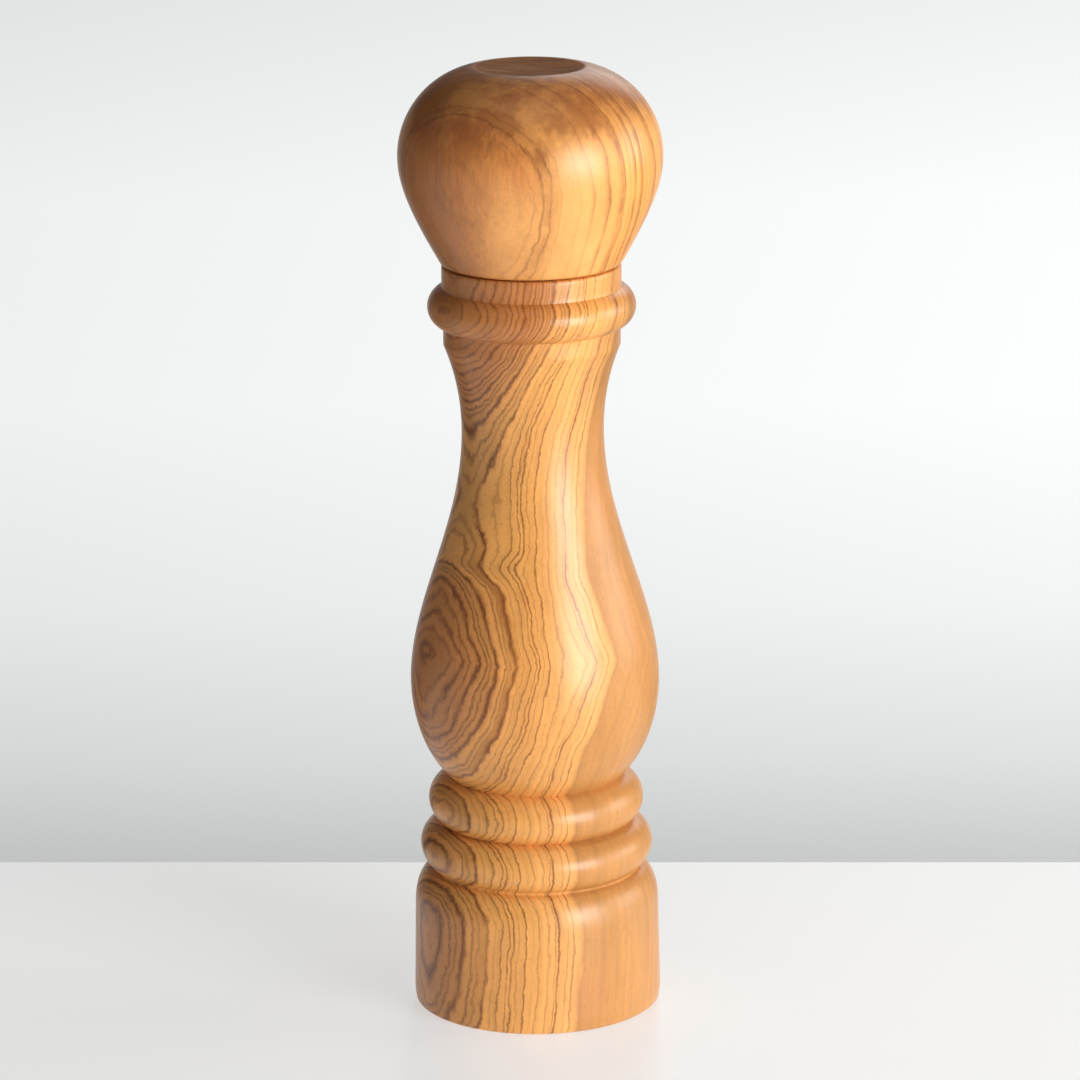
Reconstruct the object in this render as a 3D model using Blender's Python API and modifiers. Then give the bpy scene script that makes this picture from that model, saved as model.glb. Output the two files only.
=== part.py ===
"""Pepper mill, hand-turned olive wood, with a ceramic grinder set from below.

Units in the constants are millimetres; meshes are in metres, +Z up. The origin
is the centre of the base, on the plane the mill stands on, and every joint
axis is the Z axis.

How it comes apart, from the top:
  head      the turned head with its drive socket lifts off the square shaft
  body      one turned piece, bored through, open at the top for peppercorns
  shaft     hangs from a three-armed bridge in the grinder housing
  grinder   toothed cone on a feed hub, sliding on the shaft inside a toothed
            ring, pushed down by a spring and held up by the adjusting knob
  adjuster  lobed knob with a brass nut on the shaft's threaded lower end
"""
import math

import bmesh
import bpy
from mathutils import Matrix

MM = 0.001
GAP = 0.3              # between pieces that touch

# ---------------------------------------------------------------- outer form
BASE_R = 30.0          # drum of the base
BASE_TOP_R = 29.6      # its slight taper
FOOT_ROUND_H = 4.0
FOOT_ROUND_W = 0.55
SHOULDER_Z = 25.0      # where the drum starts to round over
SHOULDER_H = 8.7
SHOULDER_W = 4.5
LOWER_BEAD_Z, LOWER_BEAD_R, LOWER_BEAD_ROUND = 39.9, 28.1, 5.6
LOWER_BEAD_SAG = 0.9   # its underside is drawn out a little, down to the drum
UPPER_BEAD_Z, UPPER_BEAD_R, UPPER_BEAD_ROUND = 51.1, 26.0, 6.2
BELLY_Z, BELLY_R = 81.5, 30.0
BELLY_LOW_H, BELLY_LOW_W = 28.0, 18.2
BELLY_FULLNESS = 0.92  # below 1 the upper belly draws in sooner
WAIST_Z, WAIST_R = 143.0, 17.0
COVE_ROUND = 55.0
FILLET_Z0, FILLET_R = 163.8, 21.1
NECK_BEAD_Z, NECK_BEAD_R, NECK_BEAD_ROUND = 173.0, 24.8, 5.0
COLLAR_R = 21.35
COLLAR_TOP_Z = 183.0

HEAD_SEAT_Z = COLLAR_TOP_Z + GAP
HEAD_WIDEST_Z, HEAD_R = 209.0, 31.35
HEAD_UNDER_SOFT, HEAD_UNDER_SLOPE = 9.4, 0.66
HEAD_TOP_H, HEAD_TOP_W = 21.4, 20.9
CROWN_R = 13.4         # small flat disc left by the lathe centre
CROWN_DISH = 0.5

TURN_STEPS = 32
SMALL_STEPS = 24

# ---------------------------------------------------------------- bores
CHAMBER_R = 12.5       # peppercorn chamber
SOCKET_R = 16.0        # mouth that takes the head's spigot
SOCKET_Z = 169.5
GRINDER_BORE_R = 16.5
GRINDER_BORE_TOP_Z = 47.0
RECESS_R = 23.5        # shallow recess under the base
RECESS_Z = 7.6

# ---------------------------------------------------------------- housing
HOUSING_R = 16.2
HOUSING_TOP_Z = 46.5
FLANGE_R = 23.2
FLANGE_Z0, FLANGE_Z1 = 4.9, 7.3
RING_SEAT_R = 14.5
RING_LEDGE_Z, RING_LEDGE_R = 21.8, 13.0
CLIP_GROOVE_R, CLIP_GROOVE_Z0, CLIP_GROOVE_Z1 = 15.3, 7.75, 9.25
BRIDGE_SEAT_Z = 41.0

BRIDGE_R, BRIDGE_RIM_IN = 14.2, 12.9
BRIDGE_HUB_R, BRIDGE_HUB_BORE = 6.6, 4.72
BRIDGE_Z0, BRIDGE_Z1 = 41.3, 45.3
BRIDGE_ARM_W = 3.2
ARMS = 3

SCREW_RING_R = 19.9    # three wood screws through the flange
SCREWS = 3
SCREW_LEN = 13.0
SCREW_R, SCREW_HEAD_R, SCREW_HEAD_H = 1.15, 2.5, 1.6

# ---------------------------------------------------------------- shaft line
SHAFT_W = 5.0          # square bar
SHAFT_TOP_Z = 204.0
SHAFT_SQUARE_Z = 10.4
THREAD_R = 2.0         # M4 x 0.7
THREAD_END_Z = 4.0
SHAFT_GROOVE_R = 2.1
HOLE_W = 5.4           # square holes that ride on the bar

WASHER_Z0, WASHER_Z1 = 45.6, 46.1
BUSH_R, BUSH_FLANGE_R = 4.6, 6.3
BUSH_Z0, BUSH_FLANGE_Z, BUSH_Z1 = 41.5, 46.4, 47.5
SHAFT_CLIP_Z0, SHAFT_CLIP_Z1 = 47.9, 48.7
SEAT_Z0, SEAT_Z1, SEAT_R = 40.2, 41.0, 6.3

SPRING_TOP_Z, SPRING_BOTTOM_Z = 39.9, 27.1
SPRING_R, SPRING_WIRE_R, SPRING_TURNS = 4.9, 0.45, 4.5

# ---------------------------------------------------------------- burrs
TEETH = 24
RING_R = 14.2
RING_Z0, RING_THROAT_Z, RING_Z1 = 9.5, 14.0, 21.5
RING_IN_BOTTOM, RING_IN_THROAT, RING_IN_TOP = 12.15, 10.9, 12.3
CONE_Z0, CONE_BAND_Z, CONE_Z1 = 9.0, 13.5, 20.0
CONE_BOTTOM_R, CONE_BAND_R, CONE_TOP_R = 11.65, 10.4, 7.4
TOOTH_DEPTH = 0.85
TOOTH_TWIST = math.radians(16)

HUB_HEX_R = 5.4        # corner radius of the hub's hexagonal core
HUB_Z0, HUB_Z1 = 9.0, 26.8
HUB_SHOULDER_Z0, HUB_SHOULDER_Z1, HUB_SHOULDER_R = 20.3, 22.0, 6.6
VANES, VANE_R = 3, 10.0
VANE_Z0, VANE_Z1 = 20.6, 26.2
VANE_SWEEP = math.radians(48)

KNOB_WASHER_Z0, KNOB_WASHER_Z1, KNOB_WASHER_R = 8.0, 8.7, 6.6

# ---------------------------------------------------------------- adjuster
KNOB_R, KNOB_LOBE, KNOB_LOBES = 7.5, 0.45, 8
KNOB_Z0, KNOB_Z1 = 0.9, 7.7
KNOB_FLOOR_Z = 2.2
NUT_HEX_R = 4.04
NUT_Z0, NUT_Z1 = 4.2, 7.4

# ---------------------------------------------------------------- head socket
SPIGOT_R, SPIGOT_Z = 15.6, 171.0
INSERT_FLANGE_R, INSERT_Z0, INSERT_FLANGE_Z = 12.3, 171.2, 173.2
INSERT_R, INSERT_TOP_Z = 6.0, 189.0
INSERT_GROOVE_Z, INSERT_GROOVE_R = 186.0, 5.4
INSERT_BORE_R = 7.2
HEAD_BORE_Z = 208.0
GRIP_RING_R, GRIP_WIRE_R = 5.95, 0.4
HEAD_SCREW_RING_R, HEAD_SCREWS = 9.4, 2


# ================================================================ curves
def arc_drop(radius, d):
    """How far a circular arc has fallen away from its crown at distance d."""
    return radius - math.sqrt(max(radius * radius - d * d, 0.0))


def ellipse_drop(height, width, d):
    t = min(abs(d) / height, 1.0)
    return width * (1.0 - math.sqrt(1.0 - t * t))


def drum(z):
    if z < FOOT_ROUND_H:
        return BASE_R - ellipse_drop(FOOT_ROUND_H, FOOT_ROUND_W, FOOT_ROUND_H - z)
    if z < SHOULDER_Z:
        t = (z - FOOT_ROUND_H) / (SHOULDER_Z - FOOT_ROUND_H)
        return BASE_R + (BASE_TOP_R - BASE_R) * t
    return BASE_TOP_R - ellipse_drop(SHOULDER_H, SHOULDER_W, z - SHOULDER_Z)


def lower_bead(z):
    d = z - LOWER_BEAD_Z
    return LOWER_BEAD_R - arc_drop(LOWER_BEAD_ROUND, d * LOWER_BEAD_SAG if d < 0 else d)


def upper_bead(z):
    return UPPER_BEAD_R - arc_drop(UPPER_BEAD_ROUND, z - UPPER_BEAD_Z)


def belly(z):
    if z < BELLY_Z:
        return BELLY_R - ellipse_drop(BELLY_LOW_H, BELLY_LOW_W, BELLY_Z - z)
    t = ((z - BELLY_Z) / (WAIST_Z - BELLY_Z)) ** BELLY_FULLNESS
    return BELLY_R - (BELLY_R - WAIST_R) * 0.5 * (1.0 - math.cos(math.pi * t))


def cove(z):
    return WAIST_R + arc_drop(COVE_ROUND, z - WAIST_Z)


def neck_bead(z):
    return NECK_BEAD_R - arc_drop(NECK_BEAD_ROUND, z - NECK_BEAD_Z)


def meet(f, g, low, high):
    """Height between low and high where two of the curves cross."""
    side = f(low) > g(low)
    for _ in range(60):
        mid = 0.5 * (low + high)
        if (f(mid) > g(mid)) == side:
            low = mid
        else:
            high = mid
    return 0.5 * (low + high)


def spread(low, high, count, crowd=0.0):
    """count + 1 heights from low to high, crowded towards both ends."""
    out = []
    for i in range(count + 1):
        t = i / count
        t += crowd * (0.5 * (1.0 - math.cos(math.pi * t)) - t)
        out.append(low + (high - low) * t)
    return out


def body_outline():
    """Outer (radius, height) points of the body, from the foot up."""
    fillet = lambda z: FILLET_R
    collar = lambda z: COLLAR_R
    groove_1 = meet(drum, lower_bead, 33.8, 37.0)
    groove_2 = meet(lower_bead, upper_bead, 44.95, 45.45)
    groove_3 = meet(upper_bead, belly, 54.0, 57.25)
    neck_low = meet(fillet, neck_bead, 168.1, 172.0)
    neck_high = meet(neck_bead, collar, 174.0, 177.9)
    spans = [
        (drum, 0.0, FOOT_ROUND_H, 3, 0.6),
        (drum, FOOT_ROUND_H, SHOULDER_Z, 1, 0.0),
        (drum, SHOULDER_Z, groove_1, 6, 0.5),
        (lower_bead, groove_1, groove_2, 8, 1.0),
        (upper_bead, groove_2, groove_3, 8, 1.0),
        (belly, groove_3, BELLY_Z, 7, 0.3),
        (belly, BELLY_Z, WAIST_Z, 12, 0.0),
        (cove, WAIST_Z, FILLET_Z0, 5, 0.0),
        (fillet, FILLET_Z0, neck_low, 1, 0.0),
        (neck_bead, neck_low, neck_high, 8, 1.0),
        (collar, neck_high, COLLAR_TOP_Z - 0.4, 1, 0.0),
    ]
    points = []
    for curve, low, high, count, crowd in spans:
        for z in spread(low, high, count, crowd):
            p = (curve(z), z)
            if not points or math.hypot(p[0] - points[-1][0], p[1] - points[-1][1]) > 0.05:
                points.append(p)
    points.append((COLLAR_R - 0.4, COLLAR_TOP_Z))
    return points


def head_outline():
    """Outer (radius, height) points of the head, from its seat up to the crown."""
    points = [(COLLAR_R - 0.35, HEAD_SEAT_Z)]
    for z in spread(HEAD_SEAT_Z + 0.35, HEAD_WIDEST_Z, 9):
        d = HEAD_WIDEST_Z - z
        drop = math.hypot(HEAD_UNDER_SOFT, HEAD_UNDER_SLOPE * d) - HEAD_UNDER_SOFT
        points.append((HEAD_R - drop, z))
    top = math.acos((CROWN_R - (HEAD_R - HEAD_TOP_W)) / HEAD_TOP_W)
    for i in range(1, 11):
        a = top * i / 10
        points.append((HEAD_R - HEAD_TOP_W * (1 - math.cos(a)),
                       HEAD_WIDEST_Z + HEAD_TOP_H * math.sin(a)))
    crown_z = points[-1][1]
    points.append((CROWN_R - 0.5, crown_z + 0.0))
    points.append((CROWN_R * 0.5, crown_z - CROWN_DISH * 0.7))
    points.append((0.0, crown_z - CROWN_DISH))
    return points


# ================================================================ scene set-up
for old in list(bpy.data.objects):
    bpy.data.objects.remove(old, do_unlink=True)
for old in list(bpy.data.collections):
    bpy.data.collections.remove(old)

PARTS = bpy.data.collections.new("pepper_mill")
CUTTERS = bpy.data.collections.new("cutters")
bpy.context.scene.collection.children.link(PARTS)
bpy.context.scene.collection.children.link(CUTTERS)


def material(name, color, roughness, metallic=0.0):
    mat = bpy.data.materials.new(name)
    mat.use_nodes = True
    shader = mat.node_tree.nodes["Principled BSDF"]
    shader.inputs["Base Color"].default_value = (*color, 1.0)
    shader.inputs["Roughness"].default_value = roughness
    shader.inputs["Metallic"].default_value = metallic
    mat.diffuse_color = (*color, 1.0)
    return mat


WOOD = (0.52, 0.27, 0.10), 0.42
WOOD_HEAD = (0.42, 0.20, 0.075), 0.42
DARK_PLASTIC = (0.035, 0.035, 0.038), 0.5
CERAMIC = (0.86, 0.85, 0.81), 0.3
STEEL = (0.62, 0.62, 0.63), 0.3, 1.0
ALUMINIUM = (0.77, 0.78, 0.79), 0.35, 1.0
BRASS = (0.72, 0.52, 0.22), 0.3, 1.0


def axis_empty(name, z, parent=None):
    """A joint's own frame, an empty on the mill's axis."""
    empty = bpy.data.objects.new(name, None)
    empty.empty_display_size = 0.02
    PARTS.objects.link(empty)
    if parent:
        empty.parent = parent
        z -= parent["height"]
    empty.location = (0.0, 0.0, z * MM)
    empty["height"] = z + (parent["height"] if parent else 0.0)
    return empty


BODY = axis_empty("mill_body_axis", 0.0)
DRIVE = axis_empty("head_turn_axis", 45.0, BODY)
HEAD = axis_empty("head_lift_axis", HEAD_SEAT_Z, DRIVE)
CONE = axis_empty("cone_shift_axis", HUB_Z0, DRIVE)
ADJUST = axis_empty("adjust_turn_axis", KNOB_Z0, CONE)


def place(obj, parent, z0, finish):
    """Hang a piece on its joint's empty, its own origin on the axis at z0."""
    PARTS.objects.link(obj)
    obj.parent = parent
    obj.location = (0.0, 0.0, (z0 - parent["height"]) * MM)
    obj.data.materials.append(material(obj.name, *finish))
    return obj


def cutter(name, mesh, z0=0.0):
    obj = bpy.data.objects.new(name, mesh)
    CUTTERS.objects.link(obj)
    obj.location = (0.0, 0.0, z0 * MM)
    obj.hide_render = True
    obj.display_type = "WIRE"
    return obj


def boolean(obj, tool, operation="DIFFERENCE"):
    mod = obj.modifiers.new(tool.name, "BOOLEAN")
    mod.operation = operation
    mod.object = tool
    mod.solver = "EXACT"


# ================================================================ shape makers
def turned_mesh(name, outer_down, z0, closed):
    """Profile for a turned piece: points run down its outer side."""
    verts = [(r * MM, 0.0, (z - z0) * MM) for r, z in outer_down]
    edges = [(i, i + 1) for i in range(len(verts) - 1)]
    if closed:
        edges.append((len(verts) - 1, 0))
    mesh = bpy.data.meshes.new(name)
    mesh.from_pydata(verts, edges, [])
    return mesh


def turn(obj, steps):
    mod = obj.modifiers.new("turn", "SCREW")
    mod.axis = "Z"
    mod.angle = 2.0 * math.pi
    mod.steps = steps
    mod.render_steps = steps
    mod.use_merge_vertices = True
    mod.merge_threshold = 0.00001
    mod.use_smooth_shade = True


def turned(name, outer_down, parent, finish, closed=True, steps=SMALL_STEPS):
    z0 = min(z for _, z in outer_down)
    obj = bpy.data.objects.new(name, turned_mesh(name, outer_down, z0, closed))
    place(obj, parent, z0, finish)
    turn(obj, steps)
    return obj


def loft_mesh(name, sections, ring):
    """Skin through equal-count sections; ring closes the last one on the first."""
    bm = bmesh.new()
    rows = [[bm.verts.new((x * MM, y * MM, z * MM)) for x, y, z in s] for s in sections]
    count = len(rows[0])
    pairs = list(zip(rows, rows[1:]))
    if ring:
        pairs.append((rows[-1], rows[0]))
    else:
        bm.faces.new(list(reversed(rows[0])))
        bm.faces.new(rows[-1])
    for low, high in pairs:
        for i in range(count):
            j = (i + 1) % count
            bm.faces.new((low[i], low[j], high[j], high[i]))
    bmesh.ops.recalc_face_normals(bm, faces=bm.faces)
    mesh = bpy.data.meshes.new(name)
    bm.to_mesh(mesh)
    bm.free()
    return mesh


def circle(r, count=SMALL_STEPS, start=0.0):
    return [(r * math.cos(start + 2 * math.pi * i / count),
             r * math.sin(start + 2 * math.pi * i / count)) for i in range(count)]


def polygon(sides, corner_r, count, start=0.0):
    """A regular polygon's outline as count points, count a multiple of sides."""
    per = count // sides
    corners = circle(corner_r, sides, start)
    out = []
    for k in range(sides):
        (x0, y0), (x1, y1) = corners[k], corners[(k + 1) % sides]
        for i in range(per):
            t = i / per
            out.append((x0 + (x1 - x0) * t, y0 + (y1 - y0) * t))
    return out


def square(width, count=4):
    return polygon(4, width / math.sqrt(2.0), count, math.pi / 4)


def toothed(tip, root, twist):
    """Saw-tooth circle, alternately on the tip and the root radius."""
    out = []
    for i in range(2 * TEETH):
        a = math.pi * i / TEETH + twist
        r = tip if i % 2 == 0 else root
        out.append((r * math.cos(a), r * math.sin(a)))
    return out


def at(points, z):
    return [(x, y, z) for x, y in points]


def prism_mesh(name, outline, z0, z1):
    return loft_mesh(name, [at(outline, z0), at(outline, z1)], ring=False)


def plate(name, outlines, z0, z1, parent, finish):
    """A flat piece: filled 2D outlines, the inner ones being holes."""
    data = bpy.data.curves.new(name, "CURVE")
    data.dimensions = "2D"
    data.fill_mode = "BOTH"
    data.extrude = 0.5 * (z1 - z0) * MM
    for outline in outlines:
        spline = data.splines.new("POLY")
        spline.points.add(len(outline) - 1)
        for point, (x, y) in zip(spline.points, outline):
            point.co = (x * MM, y * MM, 0.0, 1.0)
        spline.use_cyclic_u = True
    obj = bpy.data.objects.new(name, data)
    return place(obj, parent, 0.5 * (z0 + z1), finish)


def wire(name, points, radius, z0, parent, finish, resolution=2):
    data = bpy.data.curves.new(name, "CURVE")
    data.dimensions = "3D"
    data.bevel_depth = radius * MM
    data.bevel_resolution = resolution
    data.use_fill_caps = True
    spline = data.splines.new("POLY")
    spline.points.add(len(points) - 1)
    for point, (x, y, z) in zip(spline.points, points):
        point.co = (x * MM, y * MM, (z - z0) * MM, 1.0)
    obj = bpy.data.objects.new(name, data)
    return place(obj, parent, z0, finish)


def c_shape(inner, outer, gap_angle, middle, count):
    """A ring with a gap, as one outline; the gap is centred on angle middle."""
    a0 = middle + gap_angle / 2
    sweep = 2 * math.pi - gap_angle
    out = [(outer * math.cos(a0 + sweep * i / count),
            outer * math.sin(a0 + sweep * i / count)) for i in range(count + 1)]
    out += [(inner * math.cos(a0 + sweep * i / count),
             inner * math.sin(a0 + sweep * i / count)) for i in range(count, -1, -1)]
    return out


def merged(name, meshes_and_places):
    """Several closed shapes in one mesh, for use as a cutter."""
    bm = bmesh.new()
    for mesh, matrix in meshes_and_places:
        part = bmesh.new()
        part.from_mesh(mesh)
        bmesh.ops.transform(part, matrix=matrix, verts=part.verts)
        temp = bpy.data.meshes.new("temp")
        part.to_mesh(temp)
        part.free()
        bm.from_mesh(temp)
        bpy.data.meshes.remove(temp)
    mesh = bpy.data.meshes.new(name)
    bm.to_mesh(mesh)
    bm.free()
    return mesh


def on_circle(radius, count, start):
    return [(radius * math.cos(start + 2 * math.pi * i / count),
             radius * math.sin(start + 2 * math.pi * i / count)) for i in range(count)]


# ================================================================ body
outer = list(reversed(body_outline()))
body = turned(
    "body_shell",
    outer + [
        (RECESS_R, 0.0),
        (RECESS_R, RECESS_Z),
        (GRINDER_BORE_R, RECESS_Z),
        (GRINDER_BORE_R, GRINDER_BORE_TOP_Z),
        (14.2, GRINDER_BORE_TOP_Z),
        (CHAMBER_R, GRINDER_BORE_TOP_Z + 2.6),
        (CHAMBER_R, SOCKET_Z),
        (SOCKET_R, SOCKET_Z),
        (SOCKET_R, COLLAR_TOP_Z - 0.6),
        (SOCKET_R + 0.6, COLLAR_TOP_Z),
    ],
    BODY, WOOD, steps=TURN_STEPS)

screw_places = on_circle(SCREW_RING_R, SCREWS, math.radians(60))
pilot = prism_mesh("pilot", circle(SCREW_R + 0.3, 12), RECESS_Z - 1.0,
                   FLANGE_Z0 + SCREW_LEN + 0.8)
boolean(body, cutter("screw_pilot_holes", merged(
    "screw_pilot_holes",
    [(pilot, Matrix.Translation((x * MM, y * MM, 0.0))) for x, y in screw_places])))

# ================================================================ housing
housing = turned(
    "mechanism_housing",
    [
        (HOUSING_R - 0.6, HOUSING_TOP_Z),
        (HOUSING_R, HOUSING_TOP_Z - 0.6),
        (HOUSING_R, FLANGE_Z1),
        (FLANGE_R, FLANGE_Z1),
        (FLANGE_R, FLANGE_Z0 + 0.5),
        (FLANGE_R - 0.5, FLANGE_Z0),
        (RING_SEAT_R + 0.6, FLANGE_Z0),
        (RING_SEAT_R, FLANGE_Z0 + 0.6),
        (RING_SEAT_R, CLIP_GROOVE_Z0),
        (CLIP_GROOVE_R, CLIP_GROOVE_Z0),
        (CLIP_GROOVE_R, CLIP_GROOVE_Z1),
        (RING_SEAT_R, CLIP_GROOVE_Z1),
        (RING_SEAT_R, RING_LEDGE_Z),
        (RING_LEDGE_R, RING_LEDGE_Z),
        (RING_LEDGE_R, BRIDGE_SEAT_Z),
        (RING_SEAT_R, BRIDGE_SEAT_Z),
        (RING_SEAT_R, HOUSING_TOP_Z),
    ],
    BODY, DARK_PLASTIC, steps=TURN_STEPS)


def screw_outline(grow=0.0, length=SCREW_LEN):
    """Countersunk wood screw pointing up, head face at height 0."""
    return [
        (0.0, length + grow),
        (SCREW_R * 0.35 + grow, length - 0.6 + grow),
        (SCREW_R + grow, length - 3.0 + grow),
        (SCREW_R + grow, SCREW_HEAD_H + grow),
        (SCREW_HEAD_R + grow, 0.25 + grow),
        (SCREW_HEAD_R + grow, -grow * 3),
        (0.0, -grow * 3),
    ]


def solid_of(name, outline, steps):
    """A turned solid evaluated to a plain mesh."""
    obj = bpy.data.objects.new(name, turned_mesh(name, outline, 0.0, False))
    CUTTERS.objects.link(obj)
    turn(obj, steps)
    graph = bpy.context.evaluated_depsgraph_get()
    mesh = bpy.data.meshes.new_from_object(obj.evaluated_get(graph))
    bpy.data.objects.remove(obj)
    return mesh


countersink = solid_of("countersink", screw_outline(0.3), 16)
boolean(housing, cutter("flange_screw_holes", merged(
    "flange_screw_holes",
    [(countersink, Matrix.Translation((x * MM, y * MM, 0.0))) for x, y in screw_places]),
    FLANGE_Z0 + 0.1))

screw_mesh = solid_of("wood_screw", screw_outline(), 16)
drive_slot = merged("drive_slot", [
    (prism_mesh("slot", polygon(4, 1.25, 4, math.pi / 4), -1.0, 0.8),
     Matrix.Diagonal((1.9, 0.4, 1.0, 1.0)))])


def screw(name, x, y, z, parent, turn_angle):
    obj = bpy.data.objects.new(name, screw_mesh.copy())
    place(obj, parent, z, STEEL)
    obj.location.x, obj.location.y = x * MM, y * MM
    slot = cutter(name + "_slot", drive_slot)
    slot.location = (x * MM, y * MM, z * MM)
    slot.rotation_euler.z = turn_angle
    boolean(obj, slot)
    return obj


for i, (x, y) in enumerate(screw_places):
    screw("mechanism_screw_%d" % (i + 1), x, y, FLANGE_Z0 + 0.1, BODY, 0.4 + 1.1 * i)

# ================================================================ bridge
windows = []
for k in range(ARMS):
    low = math.pi / 2 + 2 * math.pi * k / ARMS
    high = low + 2 * math.pi / ARMS
    r_in, r_out = BRIDGE_HUB_R, BRIDGE_RIM_IN
    half_in = math.asin(0.5 * BRIDGE_ARM_W / r_in)
    half_out = math.asin(0.5 * BRIDGE_ARM_W / r_out)
    outline = []
    for i in range(11):
        a = low + half_out + (high - low - 2 * half_out) * i / 10
        outline.append((r_out * math.cos(a), r_out * math.sin(a)))
    for i in range(6):
        a = high - half_in - (high - low - 2 * half_in) * i / 5
        outline.append((r_in * math.cos(a), r_in * math.sin(a)))
    windows.append(outline)
plate("bearing_bridge",
      [circle(BRIDGE_R, TURN_STEPS), circle(BRIDGE_HUB_BORE, SMALL_STEPS)] + windows,
      BRIDGE_Z0, BRIDGE_Z1, BODY, DARK_PLASTIC)

plate("thrust_washer", [circle(6.2), circle(BUSH_R + GAP)],
      WASHER_Z0, WASHER_Z1, BODY, STEEL)

plate("ring_clip", [c_shape(13.2, 15.0, math.radians(14), math.radians(90), 40)],
      8.0, 9.0, BODY, STEEL)


# ================================================================ burrs
def ring_sections():
    levels = [(RING_Z0, RING_IN_BOTTOM, 0.0),
              (RING_THROAT_Z, RING_IN_THROAT, 0.4),
              (0.5 * (RING_THROAT_Z + RING_Z1), 0.5 * (RING_IN_THROAT + RING_IN_TOP), 0.7),
              (RING_Z1, RING_IN_TOP, 1.0)]
    outside = circle(RING_R, 2 * TEETH)
    sections = [at(outside, RING_Z1), at(outside, RING_Z0)]
    for z, r, t in levels:
        sections.append(at(toothed(r, r + TOOTH_DEPTH, TOOTH_TWIST * t), z))
    return sections


ring = bpy.data.objects.new("grinding_ring", loft_mesh("grinding_ring", [
    [(x, y, z - RING_Z0) for x, y, z in s] for s in ring_sections()], ring=True))
place(ring, BODY, RING_Z0, CERAMIC)


def cone_sections():
    levels = [(CONE_Z0, CONE_BOTTOM_R, 0.0),
              (CONE_BAND_Z, CONE_BAND_R, 0.4),
              (0.5 * (CONE_BAND_Z + CONE_Z1), 0.5 * (CONE_BAND_R + CONE_TOP_R) + 0.35, 0.7),
              (CONE_Z1, CONE_TOP_R, 1.0)]
    bore = polygon(6, HUB_HEX_R + 0.35, 2 * TEETH)
    sections = [at(bore, CONE_Z1), at(bore, CONE_Z0)]
    for z, r, t in levels:
        sections.append(at(toothed(r, r - TOOTH_DEPTH, -TOOTH_TWIST * t), z))
    return sections


cone = bpy.data.objects.new("grinding_cone", loft_mesh("grinding_cone", [
    [(x, y, z - CONE_Z0) for x, y, z in s] for s in cone_sections()], ring=True))
place(cone, CONE, CONE_Z0, CERAMIC)

# Feed hub: hexagonal core under a round shoulder, square hole for the shaft,
# three swept vanes that push the peppercorns down between the burrs.
N = 24
hexagon = polygon(6, HUB_HEX_R, N)
hub_sections = [
    at(hexagon, HUB_Z0), at(hexagon, HUB_SHOULDER_Z0),
    at(circle(HUB_SHOULDER_R, N), HUB_SHOULDER_Z0), at(circle(HUB_SHOULDER_R, N), HUB_SHOULDER_Z1),
    at(circle(HUB_SHOULDER_R - 0.6, N), HUB_SHOULDER_Z1 + 0.8),
    at(circle(HUB_SHOULDER_R - 0.6, N), HUB_Z1),
    at(polygon(4, HOLE_W / math.sqrt(2.0), N, math.pi / 4), HUB_Z1),
    at(polygon(4, HOLE_W / math.sqrt(2.0), N, math.pi / 4), HUB_Z0),
]
# The square's first corner is turned to start beside the circle's first point.
shift = N // 8
hub_sections[6] = hub_sections[6][-shift:] + hub_sections[6][:-shift]
hub_sections[7] = hub_sections[7][-shift:] + hub_sections[7][:-shift]
hub = bpy.data.objects.new("feed_hub", loft_mesh("feed_hub", [
    [(x, y, z - HUB_Z0) for x, y, z in s] for s in hub_sections], ring=True))
place(hub, CONE, HUB_Z0, DARK_PLASTIC)


def vane_mesh(start):
    """One blade: it sweeps round the core as it falls and thins to its tip."""
    sections = []
    count = 7
    for i in range(count):
        t = i / (count - 1)
        a = start + VANE_SWEEP * t
        z_top = VANE_Z1 - (VANE_Z1 - VANE_Z0 - 2.4) * t
        z_low = z_top - 2.4
        r0, r1 = 4.9, VANE_R - 2.2 * t * t
        c, s = math.cos(a), math.sin(a)
        sections.append([(r0 * c, r0 * s, z_low), (r1 * c, r1 * s, z_low + 0.5),
                         (r1 * c, r1 * s, z_top - 0.3), (r0 * c, r0 * s, z_top)])
    return loft_mesh("vane", sections, ring=False)


boolean(hub, cutter("feed_vanes", merged(
    "feed_vanes", [(vane_mesh(2 * math.pi * k / VANES), Matrix.Identity(4))
                   for k in range(VANES)])), "UNION")

plate("knob_washer", [circle(KNOB_WASHER_R), circle(THREAD_R + 0.4, 16)],
      KNOB_WASHER_Z0, KNOB_WASHER_Z1, CONE, STEEL)

# ================================================================ shaft line
bar_len = SHAFT_TOP_Z - SHAFT_SQUARE_Z
chamfer = 0.6
shaft_sections = [
    at(square(SHAFT_W - 1.6, 8), 0.0),
    at(square(SHAFT_W, 8), 0.8),
    at(square(SHAFT_W, 8), bar_len - 1.4),
    at(square(SHAFT_W - 2.2, 8), bar_len),
]
shaft = bpy.data.objects.new("drive_shaft", loft_mesh("drive_shaft", shaft_sections, ring=False))
place(shaft, DRIVE, SHAFT_SQUARE_Z, ALUMINIUM)
boolean(shaft, cutter("shaft_thread_end", solid_of("thread_end", [
    (0.0, SHAFT_SQUARE_Z + 3.0), (THREAD_R, SHAFT_SQUARE_Z + 3.0),
    (THREAD_R, THREAD_END_Z + 0.5), (THREAD_R - 0.5, THREAD_END_Z), (0.0, THREAD_END_Z)], 16)),
    "UNION")
groove = turned_mesh("shaft_groove", [
    (6.0, SHAFT_CLIP_Z1 + 0.2), (6.0, SHAFT_CLIP_Z0 - 0.2),
    (SHAFT_GROOVE_R, SHAFT_CLIP_Z0 - 0.2), (SHAFT_GROOVE_R, SHAFT_CLIP_Z1 + 0.2)], 0.0, True)
groove_tool = cutter("shaft_groove", groove)
turn(groove_tool, 16)
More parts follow.
